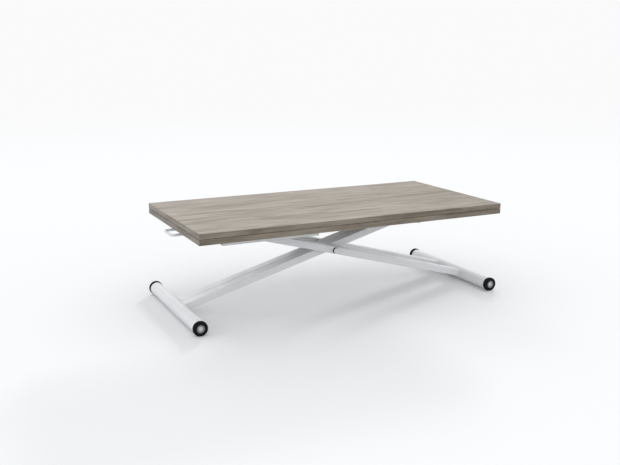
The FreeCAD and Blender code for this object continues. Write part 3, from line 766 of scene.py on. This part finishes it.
@dataclass(frozen=True)
class SurfaceFinish:
    """Paint, plastic or rubber: a colour that mottles a little towards a shade, over a fine relief."""

    name: str
    colour: Colour
    shade: Colour
    rough: Range
    fine: float
    broad: float = 16.0
    strength: float = 0.10
    depth: float = 0.0001
    gloss: float = 0.5
    coat: float = 0.0

    def material(self, groups: Groups) -> bpy.types.Material:
        """Return the material.

        Args:
            groups: The shared node groups.

        Returns:
            The material.
        """
        material, graph = new_material(self.name)
        inputs = {"Vector": object_place(graph), "Fine": self.fine, "Broad": self.broad}
        texture = graph.group(groups.texture, inputs)
        close_material(graph, {
            "Base Color": graph.mix(texture["Mottle"], self.colour, self.shade),
            "Roughness": graph.ramp(texture["Mottle"], MASK_RANGE, self.rough),
            "Specular IOR Level": self.gloss,
            "Coat Weight": self.coat,
            "Normal": raised(graph, texture["Relief"], self.strength, self.depth),
        })
        return material


@dataclass(frozen=True)
class MetalFinish:
    """Bare or plated steel with the lines of its making."""

    name: str
    colour: Colour
    shade: Colour
    rough: Range
    stretch: Triple
    fine: float = 900.0
    broad: float = 60.0
    strength: float = 0.12
    depth: float = 0.00005

    def material(self, groups: Groups) -> bpy.types.Material:
        """Return the material.

        Args:
            groups: The shared node groups.

        Returns:
            The material.
        """
        material, graph = new_material(self.name)
        place = object_place(graph)
        lines = graph.group(groups.lines, {"Vector": place, "Stretch": self.stretch})["Lines"]
        texture = graph.group(groups.texture, {"Vector": place, "Fine": self.fine, "Broad": self.broad})
        close_material(graph, {
            "Base Color": graph.mix(texture["Mottle"], self.colour, self.shade),
            "Metallic": 1.0,
            "Roughness": graph.ramp(lines, NOISE_RANGE, self.rough),
            "Normal": raised(graph, lines, self.strength, self.depth),
        })
        return material


LEAF_FINISHES = {
    "upper_leaf": WoodFinish("taupe_oak_upper", "upper_leaf"),
    "lower_leaf": WoodFinish("taupe_oak_lower", "lower_leaf", shift=(0.37, 0.71, 0.13)),
}

FINISHES: dict[Slot, SurfaceFinish | MetalFinish] = {
    Slot.WHITE_PAINT: SurfaceFinish("white_powder_coat", (0.840, 0.846, 0.856), (0.812, 0.818, 0.829),
                                    rough=(0.34, 0.42), fine=850.0, strength=0.06),
    Slot.TYRE: SurfaceFinish("tyre_rubber", (0.008, 0.008, 0.008), (0.013, 0.013, 0.014),
                             rough=(0.56, 0.70), fine=1500.0, broad=90.0, strength=0.20, gloss=0.07),
    Slot.HUB: SurfaceFinish("grey_hub_plastic", (0.300, 0.302, 0.306), (0.262, 0.264, 0.268),
                            rough=(0.40, 0.50), fine=2200.0, broad=120.0),
    Slot.AXLE_CAP: SurfaceFinish("pale_cap_plastic", (0.600, 0.603, 0.610), (0.560, 0.563, 0.570),
                                 rough=(0.34, 0.44), fine=2200.0, broad=150.0, strength=0.08),
    Slot.BLACK_PLASTIC: SurfaceFinish("black_plastic", (0.016, 0.016, 0.017), (0.026, 0.026, 0.027),
                                      rough=(0.42, 0.55), fine=1800.0, broad=80.0, strength=0.15),
    Slot.BUSH: SurfaceFinish("bearing_plastic", (0.105, 0.105, 0.110), (0.135, 0.135, 0.138),
                             rough=(0.38, 0.50), fine=2000.0, broad=100.0),
    Slot.GAS_BLACK: SurfaceFinish("black_lacquer", (0.014, 0.014, 0.015), (0.020, 0.020, 0.021),
                                  rough=(0.18, 0.26), fine=700.0, broad=30.0, strength=0.05, coat=0.4),
    Slot.PAD: SurfaceFinish("pad_rubber", (0.055, 0.055, 0.056), (0.080, 0.080, 0.080),
                            rough=(0.70, 0.85), fine=2600.0, broad=200.0, strength=0.25),
    Slot.STEEL: MetalFinish("drawn_steel", (0.600, 0.600, 0.610), (0.520, 0.520, 0.530),
                            rough=(0.20, 0.36), stretch=(900.0, 900.0, 900.0)),
    Slot.ZINC: MetalFinish("zinc_plate", (0.560, 0.562, 0.570), (0.450, 0.452, 0.462),
                           rough=(0.30, 0.46), stretch=(700.0, 60.0, 700.0)),
}


class Dresser:
    """Holds the materials, dresses the solids and adds new pieces."""

    def __init__(self) -> None:
        """Build every finish once."""
        groups = Groups(Grain().group(), texture_group(), lines_group())
        self.slots = {slot: finish.material(groups) for slot, finish in FINISHES.items()}
        self.leaves = {node: finish.material(groups) for node, finish in LEAF_FINISHES.items()}

    def dress_solids(self) -> None:
        """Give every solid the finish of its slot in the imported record."""
        rows = frame["record"]["subparts"]
        for row in rows:
            node = row["node"]
            slot = Slot(row["material_slot"])
            materials = frame["nodes"][node].data.materials
            materials.clear()
            materials.append(self.leaves[node] if slot is Slot.WOOD else self.slots[slot])
        LOG.info("dressed %d solids", len(rows))

    def add(self, name: str, shells: Sequence[Shell], slot: Slot, body: str, *replaced: str) -> None:
        """Add a piece that is made of closed surfaces, and report it.

        Args:
            name: Name of the piece.
            shells: Its closed surfaces.
            slot: Slot of its finish.
            body: Body that it rides on.
            *replaced: Solids that it stands for.
        """
        starts = np.cumsum([0] + [len(shell.points) for shell in shells])
        points = np.concatenate([shell.points for shell in shells])
        faces = [[int(start) + corner for corner in face]
                 for start, shell in zip(starts, shells) for face in shell.faces()]
        mesh = bpy.data.meshes.new(name)
        mesh.from_pydata(points, [], faces)
        mesh.polygons.foreach_set("use_smooth", np.ones(len(faces), dtype=bool))
        mesh.set_sharp_from_angle(angle=SMOOTH_ANGLE)
        mesh.materials.append(self.slots[slot])
        piece = new_object(name, mesh)
        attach(piece, body)
        if replaced:
            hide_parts(*replaced)
        LOG.info("%s: %d faces on %s", name, len(faces), body)


# Feet

@dataclass
class Wheel:
    """A wheel at one end of a foot: rubber tyre on a plastic hub."""

    side: Side
    end: FootEnd
    crown: float = 0.0006
    shoulder: float = 0.0034
    dish_outer: float = 0.0208
    dish_inner: float = 0.0156
    dish_depth: float = 0.0006
    dish_round: float = 0.0004
    hub_bore: float = 0.0060
    hub_chamfer: float = 0.0007
    hub_round: float = 0.0003
    recess_radius: float = 0.0100
    recess_depth: float = 0.0035
    recess_round: float = 0.0005
    groove_radius: float = 0.0119
    groove_width: float = 0.0009
    groove_depth: float = 0.0005
    groove_round: float = 0.0001

    @property
    def name(self) -> str:
        """Return the place of the wheel in words."""
        return f"{self.side.value}_{self.end.value}"

    def revolved(self, corners: Sequence[Corner]) -> Shell:
        """Return a ring about the tyre's middle, from a profile whose high side is the outer face."""
        profile = rounded(corners) * np.array([self.end.outside, 1.0])
        return turned(profile, extent(f"{self.name}_tyre").middle, Axis.Y, ring=True)

    def tyre(self) -> Shell:
        """Return the tyre, whose tread is slightly crowned and whose outer wall is dished.

        The crest of the tread's profile lies so far out that its rounding ends at the tyre's radius.

        Returns:
            The closed surface.
        """
        radius, half, _ = extent(f"{self.name}_tyre").half
        bore = extent(f"{self.name}_hub").half[0]
        tread = radius - self.crown
        crest = tread + self.crown / (1 - self.shoulder / (2 * half))
        dish = half - self.dish_depth
        return self.revolved([
            (-half, bore, self.hub_round),
            (-half, tread, self.shoulder),
            (0, crest, self.shoulder),
            (half, tread, self.shoulder),
            (half, self.dish_outer, self.dish_round),
            (dish, self.dish_outer - self.dish_depth, self.dish_round),
            (dish, self.dish_inner + self.dish_depth, self.dish_round),
            (half, self.dish_inner, self.dish_round),
            (half, bore, self.hub_round),
        ])

    def hub(self) -> Shell:
        """Return the hub: a chamfered ring with a groove, and a recess for the axle cap in its outer face.

        Returns:
            The closed surface.
        """
        box = extent(f"{self.name}_hub")
        middle = extent(f"{self.name}_tyre").middle[1]
        radius = box.half[0]
        inner, outer = sorted(self.end.outside * (face - middle) for face in box.span(Axis.Y))
        groove = outer - self.groove_depth
        groove_inside = self.groove_radius - self.groove_width
        recess = outer - self.recess_depth
        return self.revolved([
            (inner, self.hub_bore, 0),
            (inner, radius, self.hub_round),
            (outer - self.hub_chamfer, radius, self.groove_round),
            (outer, radius - self.hub_chamfer, self.groove_round),
            (outer, self.groove_radius, self.groove_round),
            (groove, self.groove_radius, self.groove_round),
            (groove, groove_inside, self.groove_round),
            (outer, groove_inside, self.groove_round),
            (outer, self.recess_radius, self.hub_round),
            (recess, self.recess_radius, self.recess_round),
            (recess, self.hub_bore, 0),
        ])

    def build(self, dresser: Dresser) -> None:
        """Add the tyre and the hub.

        Args:
            dresser: Adds the pieces.
        """
        body = f"{self.name}_wheel"
        tyre = f"{self.name}_tyre"
        hub = f"{self.name}_hub"
        dresser.add(f"{tyre}_moulded", [self.tyre()], Slot.TYRE, body, tyre)
        dresser.add(f"{hub}_moulded", [self.hub()], Slot.HUB, body, hub)


@dataclass
class Foot:
    """A foot across one end: round tube, end plugs, axle caps, wheels and the welds of its leg."""

    side: Side
    tube_wall: float = 0.0025
    tube_end_round: float = 0.0008
    plug_depth: float = 0.0090
    plug_lip: float = 0.0015
    plug_face_round: float = 0.0005
    plug_lip_round: float = 0.0001
    plug_end_round: float = 0.0010
    cap_thickness: float = 0.0026
    cap_dome: float = 0.0007
    cap_seat_round: float = 0.0002
    cap_steps: int = 64
    cap_corner_steps: int = 9
    weld_radius: float = 0.0022
    weld_ripple: float = 0.14
    weld_ripples: int = 48
    weld_steps: int = 384
    leg_depth: float = 0.0260
    leg_corner: float = 0.0025
    leg_corner_steps: int = 9

    def tube(self) -> Shell:
        """Return the tube: a ring profile with rounded ends, turned about the foot's axis.

        Returns:
            The closed surface.
        """
        box = extent(f"{self.side.value}_foot_tube")
        radius, half, _ = box.half
        bore = radius - self.tube_wall
        corners = [(-half, bore), (-half, radius), (half, radius), (half, bore)]
        return turned(rounded(alike(corners, self.tube_end_round)), box.middle, Axis.Y, ring=True)

    def plugs(self) -> list[Shell]:
        """Return the two end plugs: a rounded lip outside the tube and an insert in it.

        Returns:
            Two closed surfaces.
        """
        box = extent(f"{self.side.value}_foot_plugs")
        radius, face, _ = box.half
        insert = radius - self.tube_wall
        lip = face - self.plug_lip
        end = lip - self.plug_depth
        profile = rounded([
            (face, 0, 0),
            (face, radius, self.plug_face_round),
            (lip, radius, self.plug_lip_round),
            (lip, insert, 0),
            (end, insert, self.plug_end_round),
            (end, 0, 0),
        ])
        return at_both_ends(profile, box.middle)

    def caps(self) -> list[Shell]:
        """Return the two axle caps: low domes with rounded rims.

        Returns:
            Two closed surfaces.
        """
        box = extent(f"{self.side.value}_axle_caps")
        radius, top, _ = box.half
        seat = top - self.cap_thickness
        rim = top - self.cap_dome
        crown = radius / 2
        crown_round = radius / 3
        profile = rounded([
            (top, 0, 0),
            (top, crown, crown_round),
            (rim, radius, self.cap_dome),
            (seat, radius, self.cap_seat_round),
            (seat, 0, 0),
        ], self.cap_corner_steps)
        return at_both_ends(profile, box.middle, self.cap_steps)

    def weld(self, tube: str) -> Shell:
        """Return the weld bead where a flat leg tube meets the round foot tube.

        The path goes round the leg's section. At a height w above the leg's axis it lies at the distance
        along the leg where the foot tube's circle is reached, the root of its squared radius less the square
        of w. The bead's radius swells and shrinks with a sine along the path.

        Args:
            tube: Solid of the leg tube.

        Returns:
            The closed bead.
        """
        foot = extent(f"{self.side.value}_foot_tube")
        leg = extent(tube)
        radius = foot.half[0]
        rise = extent("pivot_pin").middle - foot.middle
        along = np.array([rise[0], 0.0, rise[2]]) / math.hypot(rise[0], rise[2])
        above = np.array([-along[2], 0.0, along[0]])
        across = np.array([0.0, 1.0, 0.0])
        half = leg.half[1]
        deep = self.leg_depth / 2
        corners = [(-half, -deep), (half, -deep), (half, deep), (-half, deep)]
        outline = evenly(rounded(alike(corners, self.leg_corner), self.leg_corner_steps), self.weld_steps)
        normal = outward(outline)
        reach = np.sqrt(radius**2 - outline[:, 1] ** 2)
        from_foot = reach[:, None] * along + outline[:, 1:] * above
        path = foot.middle * (1 - across) + across * leg.middle[1] + from_foot + outline[:, :1] * across
        beside = normal[:, :1] * across + normal[:, 1:] * above
        ripple = np.sin(np.arange(self.weld_steps) * (2 * math.pi * self.weld_ripples / self.weld_steps))
        return bead(path, from_foot / radius, beside, self.weld_radius * (1 + self.weld_ripple * ripple))

    def build(self, dresser: Dresser) -> None:
        """Add every piece of the foot and its wheels.

        Args:
            dresser: Adds the pieces.
        """
        side = self.side.value
        leg = self.side.leg
        tube = f"{side}_foot_tube"
        plugs = f"{side}_foot_plugs"
        caps = f"{side}_axle_caps"
        welds = [self.weld(f"{leg}_{end.value}_tube") for end in FootEnd]
        dresser.add(f"{tube}_smooth", [self.tube()], Slot.WHITE_PAINT, leg, tube)
        dresser.add(f"{plugs}_moulded", self.plugs(), Slot.BLACK_PLASTIC, leg, plugs)
        dresser.add(f"{caps}_domed", self.caps(), Slot.AXLE_CAP, self.side.axle, caps)
        dresser.add(f"{side}_foot_welds", welds, Slot.WHITE_PAINT, leg)
        for end in FootEnd:
            Wheel(self.side, end).build(dresser)


# Scissor pivot

@dataclass
class Pivot:
    """The scissor pivot's outer cap."""

    rim_round: float = 0.0018
    ring_radius: float = 0.0062
    ring_width: float = 0.0008
    ring_depth: float = 0.0004
    ring_round: float = 0.0001

    def cap(self) -> Shell:
        """Return the cap: a turned disc with a rounded rim and a fine ring in its face.

        Returns:
            The closed surface.
        """
        box = extent("pivot_cap")
        radius, half, _ = box.half
        ring = half - self.ring_depth
        ring_outer = self.ring_radius + self.ring_width
        profile = rounded([
            (half, 0, 0),
            (half, self.ring_radius, self.ring_round),
            (ring, self.ring_radius, self.ring_round),
            (ring, ring_outer, self.ring_round),
            (half, ring_outer, self.ring_round),
            (half, radius, self.rim_round),
            (-half, radius, self.ring_round),
            (-half, 0, 0),
        ])
        return turned(profile * np.array([-1.0, 1.0]), box.middle, Axis.Y)

    def build(self, dresser: Dresser) -> None:
        """Add the cap."""
        dresser.add("pivot_cap_turned", [self.cap()], Slot.WHITE_PAINT, "leg_a", "pivot_cap")


# Under-frame

@dataclass
class UnderFrame:
    """Bars, plates, tracks and runners under the top, as rolled and bent steel."""

    bar_round: float = 0.0009
    head_round: float = 0.0030
    track_wall: float = 0.0025
    track_bend: float = 0.0024
    lip_round: float = 0.0007
    runner_wall: float = 0.0020
    runner_slot_half: float = 0.0080
    runner_bend: float = 0.0018
    rail_flange: float = 0.0030
    rail_flange_half: float = 0.0147
    rail_web_half: float = 0.0050
    rail_cap: float = 0.0020
    rail_round: float = 0.0006
    bracket_web: float = 0.0025
    bracket_cheek: float = 0.0030
    bracket_bend: float = 0.0022

    def bar(self, node: str, axis: Axis, radius: float) -> Shell:
        """Return a flat bar with rounded long edges in the place of a solid.

        Args:
            node: The solid.
            axis: Axis that the bar runs along.
            radius: Radius of its long edges.

        Returns:
            The closed surface.
        """
        box = extent(node)
        first, second = ((axis.value + step) % 3 for step in (1, 2))
        corners = [(box.low[first], box.low[second]), (box.high[first], box.low[second]),
                   (box.high[first], box.high[second]), (box.low[first], box.high[second])]
        return drawn(rounded(alike(corners, radius)), axis, box.span(axis))

    def channel(self, back: float, web: float, lip: float, sides: Range, wall: float, bend: float) -> Points:
        """Return the outline of a channel bent from sheet.

        Args:
            back: Depth of the outer face of its web.
            web: Depth of the inner face of its web.
            lip: Depth of the ends of its two sides.
            sides: Places of the outer faces of its sides.
            wall: Thickness of the sides.
            bend: Radius of the two outer bends.

        Returns:
            Rows of a depth and a place.
        """
        low, high = sides
        edge = self.lip_round
        return rounded([
            (back, low, bend),
            (lip, low, edge),
            (lip, low + wall, edge),
            (web, low + wall, edge),
            (web, high - wall, edge),
            (lip, high - wall, edge),
            (lip, high, edge),
            (back, high, bend),
        ])

    def track(self, node: str) -> Shell:
        """Return a channel along X whose open side faces the middle of the table.

        Args:
            node: The solid.

        Returns:
            The closed surface.
        """
        box = extent(node)
        lip, back = sorted(box.span(Axis.Y), key=abs)
        web = back - math.copysign(self.track_wall, back)
        outline = self.channel(back, web, lip, box.span(Axis.Z), self.track_wall, self.track_bend)
        return drawn(outline, Axis.X, box.span(Axis.X))

    def bracket(self) -> Shell:
        """Return the handle's bracket: a web with two cheeks bent down from it, drawn along X.

        Returns:
            The closed surface.
        """
        box = extent("handle_bracket")
        lip, back = box.span(Axis.Z)
        web = back - self.bracket_web
        sides = (-box.high[1], box.high[1])
        outline = self.channel(back, web, lip, sides, self.bracket_cheek, self.bracket_bend)
        return drawn(outline[:, ::-1], Axis.X, box.span(Axis.X))

    def fixed_runner(self, node: str) -> Shell:
        """Return a lipped channel along Y, roll-formed from strip.

        Args:
            node: The solid.

        Returns:
            The closed surface.
        """
        box = extent(node)
        low, high = box.span(Axis.Z)
        outer = box.half[0]
        inner = outer - self.runner_wall
        slot = self.runner_slot_half
        floor = low + self.runner_wall
        roof = high - self.runner_wall
        bend = self.runner_bend
        edge = self.lip_round
        outline = rounded(both_halves([
            (low, outer, bend),
            (high, outer, bend),
            (high, slot, edge),
            (roof, slot, edge),
            (roof, inner, edge),
            (floor, inner, edge),
        ]))
        return drawn(outline + np.array([0.0, box.middle[0]]), Axis.Y, box.span(Axis.Y))

    def moving_rail(self, node: str) -> Shell:
        """Return the rail under the lower leaf: a flange, a web and a wide cap, drawn along Y.

        Args:
            node: The solid.

        Returns:
            The closed surface.
        """
        box = extent(node)
        low, high = box.span(Axis.Z)
        cap_half = box.half[0]
        flange_top = low + self.rail_flange
        cap_bottom = high - self.rail_cap
        half = [(low, self.rail_flange_half), (flange_top, self.rail_flange_half),
                (flange_top, self.rail_web_half), (cap_bottom, self.rail_web_half),
                (cap_bottom, cap_half), (high, cap_half)]
        outline = rounded(both_halves(alike(half, self.rail_round)))
        return drawn(outline + np.array([0.0, box.middle[0]]), Axis.Y, box.span(Axis.Y))

    def build(self, dresser: Dresser) -> None:
        """Add every piece of the under-frame, and the rails that ride on the lower leaf.

        Args:
            dresser: Adds the pieces.
        """
        bars = {"front_side_bar": Axis.X, "back_side_bar": Axis.X, "left_end_plate": Axis.Y,
                "middle_plate": Axis.Y, "right_end_plate": Axis.Y}
        for node, axis in bars.items():
            bar = self.bar(node, axis, self.bar_round)
            dresser.add(f"{node}_rolled", [bar], Slot.WHITE_PAINT, "frame", node)
        for node in ("front_track", "back_track"):
            dresser.add(f"{node}_bent", [self.track(node)], Slot.WHITE_PAINT, "frame", node)
        for side in Side:
            fixed = f"{side.value}_fixed_runner"
            moving = f"{side.value}_moving_rail"
            dresser.add(f"{fixed}_rolled", [self.fixed_runner(fixed)], Slot.ZINC, "frame", fixed)
            dresser.add(f"{moving}_rolled", [self.moving_rail(moving)], Slot.ZINC, "lower_top", moving)
        dresser.add("handle_bracket_bent", [self.bracket()], Slot.WHITE_PAINT, "frame", "handle_bracket")
        head = self.bar("release_head", Axis.X, self.head_round)
        dresser.add("release_head_moulded", [head], Slot.GAS_BLACK, "frame", "release_head")


# Gas spring

@dataclass
class GasSpring:
    """The gas spring's cylinder."""

    wall: float = 0.0015
    base_length: float = 0.0060
    gland_length: float = 0.0080
    gland_radius: float = 0.0085
    gland_set_back: float = 0.0010
    rod_bore: float = 0.0052
    end_round: float = 0.0024
    rim_round: float = 0.0003
    crimp_from_end: float = 0.0085
    crimp_half_width: float = 0.0016
    crimp_depth: float = 0.0009
    crimp_round: float = 0.0008

    def cylinder(self) -> Shell:
        """Return a turned cup with a rolled crimp near each end and a set-back gland round the rod.

        Its profile starts at the middle of the base inside, runs out through the gland and ends at the
        middle of the base outside.

        Returns:
            The closed surface.
        """
        box = extent("gas_cylinder")
        half, _, radius = box.half
        base = half - self.base_length
        mouth = self.gland_length - half
        gland = self.gland_set_back - half
        cavity = radius - self.wall
        crimp = half - self.crimp_from_end
        inside = [(base, cavity), (mouth, cavity), (mouth, self.rod_bore), (gland, self.rod_bore),
                  (gland, self.gland_radius), (-half, self.gland_radius)]
        right = [
            (crimp - self.crimp_half_width, radius, self.crimp_round),
            (crimp, radius - self.crimp_depth, self.crimp_round),
            (crimp + self.crimp_half_width, radius, self.crimp_round),
            (half, radius, self.end_round),
        ]
        left = [(-along, distance, bend) for along, distance, bend in reversed(right)]
        profile = rounded([(base, 0, 0), *alike(inside, self.rim_round), *left, *right, (half, 0, 0)])
        return turned(profile, box.middle, Axis.X)

    def build(self, dresser: Dresser) -> None:
        """Add the cylinder."""
        dresser.add("gas_cylinder_turned", [self.cylinder()], Slot.GAS_BLACK, "slider", "gas_cylinder")


# Screws and bolts

@dataclass(frozen=True)
class Fastener:
    """A screw or bolt along Z, with its drive in the head's face."""

    recess: Recess
    recess_size: float
    recess_depth: float
    floor_share: float
    head_radius: float
    head_height: float
    neck_radius: float
    shank_radius: float
    length: float
    edge: float = 0.0003
    steps: int = 48

    def shell(self, x: float, y: float, face: float, pointing: Pointing) -> Shell:
        """Return one fastener.

        The surface is turned about Z, but the rows of the drive's floor and rim take their distance from the
        drive's outline at each angle.

        Args:
            x: Place along X.
            y: Place along Y.
            face: Height of the head's face.
            pointing: Direction of the shank.

        Returns:
            The closed surface.
        """
        turn = np.arange(self.steps) * (2 * math.pi / self.steps)
        drive = self.recess.outline(turn, self.recess_size)
        rows = [
            (self.recess_depth, 0.0),
            (self.recess_depth, self.floor_share * drive),
            (0.0, drive),
            (0.0, self.head_radius - self.edge),
            (self.edge, self.head_radius),
            (self.head_height, self.neck_radius),
            (self.head_height + self.edge, self.shank_radius),
            (self.length - self.edge, self.shank_radius),
            (self.length, 0.0),
        ]
        along = np.array([[place] for place, _ in rows])
        radius = np.stack([np.broadcast_to(distance, self.steps) for _, distance in rows])
        return turned(np.hstack([pointing.value * along, radius]), (x, y, face), Axis.Z, self.steps)


COUNTERSUNK_SCREW = Fastener(
    recess=Recess.CROSS, recess_size=0.0019, recess_depth=0.0011, floor_share=0.6, head_radius=0.0036,
    head_height=0.0018, neck_radius=0.0020, shank_radius=0.0020, length=0.0115)
SOCKET_BOLT = Fastener(
    recess=Recess.HEX, recess_size=0.0015, recess_depth=0.0016, floor_share=1.0, head_radius=0.0035,
    head_height=0.0030, neck_radius=0.0035, shank_radius=0.0025, length=0.0098)


@dataclass
class Fasteners:
    """Every screw and bolt that shows on the under-frame and between the leaves."""

    rail_screws_in_row: int = 4
    rail_screw_end: float = 0.0300
    rail_screw_row: float = 0.0100
    hinge_count: int = 3
    hinge_half_length: float = 0.0300
    hinge_screw_inset: float = 0.0080
    bolt_spread: float = 0.0080
    screw: Fastener = COUNTERSUNK_SCREW
    bolt: Fastener = SOCKET_BOLT

    def runner_bolts(self) -> list[Shell]:
        """Return the bolts of both runners, two by two.

        Returns:
            One closed surface for each bolt.
        """
        box = extent("frame_bolts")
        reach = box.high[1] - self.bolt.head_radius
        outer = box.high[0] - self.bolt.head_radius
        inner = outer - 2 * self.bolt_spread
        rows = (-outer, -inner, inner, outer)
        return [self.bolt.shell(x, y, box.low[2], Pointing.UP) for x in rows for y in (-reach, reach)]

    def rail_screws(self) -> list[Shell]:
        """Return the screws of both moving rails, in two rows beside each web.

        Returns:
            One closed surface for each screw.
        """
        face = extent("lower_leaf_screws").low[2]
        screws = []
        for side in Side:
            rail = extent(f"{side.value}_moving_rail")
            rows = (rail.middle[0] - self.rail_screw_row, rail.middle[0] + self.rail_screw_row)
            places = spread(self.rail_screws_in_row, rail.high[1] - self.rail_screw_end)
            screws += [self.screw.shell(x, y, face, Pointing.UP) for x in rows for y in places]
        return screws

    def hinge_screws(self, plates: str, face: float, pointing: Pointing) -> list[Shell]:
        """Return the screws of a row of hinge plates.

        Args:
            plates: Node of the plates.
            face: Height of the screws' faces.
            pointing: Direction of the shanks.

        Returns:
            One closed surface for each screw.
        """
        box = extent(plates)
        middles = spread(self.hinge_count, box.high[0] - self.hinge_half_length)
        reach = self.hinge_half_length - self.hinge_screw_inset
        places = [middle + offset for middle in middles for offset in (-reach, reach)]
        y = box.low[1] + self.hinge_screw_inset
        return [self.screw.shell(x, y, face, pointing) for x in places]

    def build(self, dresser: Dresser) -> None:
        """Add the bolts of the runners, the screws of the rails and the screws of the hinges.

        Args:
            dresser: Adds the pieces.
        """
        dresser.add("frame_bolts_socket", self.runner_bolts(), Slot.ZINC, "frame", "frame_bolts")
        lower = self.hinge_screws("lower_hinge_plates", extent("lower_leaf").high[2], Pointing.DOWN)
        screws = self.rail_screws() + lower
        dresser.add("lower_leaf_screws_cross", screws, Slot.ZINC, "lower_top", "lower_leaf_screws")
        upper = self.hinge_screws("upper_hinge_plates", extent("upper_leaf").low[2], Pointing.UP)
        dresser.add("upper_leaf_screws_cross", upper, Slot.ZINC, "upper_top", "upper_leaf_screws")


# Studio

@dataclass(frozen=True)
class Lamp:
    """A soft sun: its strength, the direction to it, its size in degrees and whether gloss mirrors it."""

    name: str
    strength: float
    towards: Triple
    angle: float
    mirrored: bool

    def build(self) -> None:
        """Add the lamp, turned to shine from its direction."""
        data = bpy.data.lights.new(self.name, "SUN")
        data.energy = self.strength
        data.angle = math.radians(self.angle)
        lamp = new_object(self.name, data)
        lamp.visible_glossy = self.mirrored
        x, y, z = self.towards
        lamp.rotation_euler = (math.atan2(math.hypot(x, y), z), 0.0, math.atan2(x, -y))


@dataclass
class Studio:
    """Camera, soft light and a pale floor that runs into a pale background."""

    camera_place: Triple = (-1.3461, -2.6271, 0.8984)
    camera_down: float = 12.78
    camera_right: float = 26.12
    lens: float = 47.78
    sensor: float = 36.0
    backdrop: float = 0.956
    sky_colour: Colour = (0.982, 0.998, 1.014)
    sky_low: float = 1.25
    sky_high: float = 0.86
    sky_range: Range = (0.10, 0.80)
    sheen: Lamp = Lamp("sheen", strength=0.17, towards=(0.17, 0.98, 0.60), angle=16.0, mirrored=True)
    side: Lamp = Lamp("side", strength=0.95, towards=(0.61, 0.73, 0.31), angle=8.0, mirrored=False)
    floor_half: float = 60.0
    floor_colour: Colour = (0.930, 0.930, 0.932)
    floor_bounce: Colour = (0.60, 0.605, 0.615)
    floor_shade: float = 0.995
    floor_mottle: float = 3.0
    floor_detail: float = 3.0
    fade_range: Range = (3.0, 9.0)

    def add_camera(self) -> None:
        """Add the camera at the photograph's place."""
        data = bpy.data.cameras.new("camera")
        data.lens = self.lens
        data.sensor_width = self.sensor
        camera = new_object("camera", data)
        camera.location = self.camera_place
        camera.rotation_euler = (math.radians(90 - self.camera_down), 0.0, math.radians(-self.camera_right))
        bpy.context.scene.camera = camera

    def seen(self, graph: Graph) -> Socket:
        """Return 1 for rays that show the background: those of the camera, of reflections and of glass.

        Args:
            graph: Graph of the world or of a material.

        Returns:
            The value.
        """
        path = graph.add("ShaderNodeLightPath")
        mirrored = graph.math("MAXIMUM", path.outputs["Is Glossy Ray"], path.outputs["Is Transmission Ray"])
        return graph.math("MAXIMUM", path.outputs["Is Camera Ray"], mirrored)

    def add_world(self) -> None:
        """Light the room from all round, more from the sides than from above, and show a pale background."""
        world = bpy.data.worlds.new("studio")
        world.use_nodes = True
        graph = Graph(world.node_tree)
        direction = graph.add("ShaderNodeTexCoord").outputs["Generated"]
        overhead = graph.ramp(graph.split(direction)["Z"], self.sky_range)
        strength = graph.blend(Blend.VALUE, overhead, self.sky_low, self.sky_high)
        sky = graph.add("ShaderNodeBackground", {"Color": (*self.sky_colour, 1.0), "Strength": strength})
        backdrop = graph.add("ShaderNodeBackground", {"Color": WHITE, "Strength": self.backdrop})
        inputs = {0: self.seen(graph), 1: sky.outputs[0], 2: backdrop.outputs[0]}
        both = graph.add("ShaderNodeMixShader", inputs)
        graph.add("ShaderNodeOutputWorld", {"Surface": both.outputs[0]})
        bpy.context.scene.world = world

    def floor_material(self) -> bpy.types.Material:
        """Return a pale floor that throws back less light than it shows and fades far off.

        From below it is clear, so that it hides nothing.

        Returns:
            The material.
        """
        material, graph = new_material("pale_floor")
        place = object_place(graph)
        distance = graph.add("ShaderNodeVectorMath", {0: place}, operation="LENGTH").outputs["Value"]
        mottle = graph.noise(place, self.floor_mottle, detail=self.floor_detail)
        shade = tuple(channel * self.floor_shade for channel in self.floor_colour)
        shown = self.seen(graph)
        colour = graph.mix(shown, self.floor_bounce, graph.mix(mottle, self.floor_colour, shade))
        near = graph.add("ShaderNodeBsdfDiffuse", {"Color": colour})
        far = graph.add("ShaderNodeEmission", {"Color": WHITE, "Strength": self.backdrop})
        fade = graph.math("MULTIPLY", graph.ramp(distance, self.fade_range), shown)
        above = graph.add("ShaderNodeMixShader", {0: fade, 1: near.outputs[0], 2: far.outputs[0]})
        below = graph.add("ShaderNodeBsdfTransparent")
        back = graph.add("ShaderNodeNewGeometry").outputs["Backfacing"]
        both = graph.add("ShaderNodeMixShader", {0: back, 1: above.outputs[0], 2: below.outputs[0]})
        graph.add("ShaderNodeOutputMaterial", {"Surface": both.outputs[0]})
        return material

    def add_floor(self) -> None:
        """Add the floor, a square of four points at height 0."""
        square = np.array([(-1.0, -1.0, 0.0), (1.0, -1.0, 0.0), (1.0, 1.0, 0.0), (-1.0, 1.0, 0.0)])
        mesh = bpy.data.meshes.new("floor")
        mesh.from_pydata(self.floor_half * square, [], [(0, 1, 2, 3)])
        mesh.materials.append(self.floor_material())
        floor = new_object("floor", mesh)

    def build(self) -> None:
        """Add the whole studio and set the view transform."""
        self.add_camera()
        self.add_world()
        self.sheen.build()
        self.side.build()
        self.add_floor()
        bpy.context.scene.view_settings.view_transform = "Standard"


def write_sizes() -> None:
    """Update the view layer."""
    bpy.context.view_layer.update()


def main() -> None:
    """Dress the solids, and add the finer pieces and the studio."""
    logging.basicConfig(level=logging.INFO, format="%(message)s")
    dresser = Dresser()
    dresser.dress_solids()
    for side in Side:
        Foot(side).build(dresser)
    Pivot().build(dresser)
    UnderFrame().build(dresser)
    GasSpring().build(dresser)
    Fasteners().build(dresser)
    Studio().build()
    write_sizes()


if __name__ == "__main__":
    main()
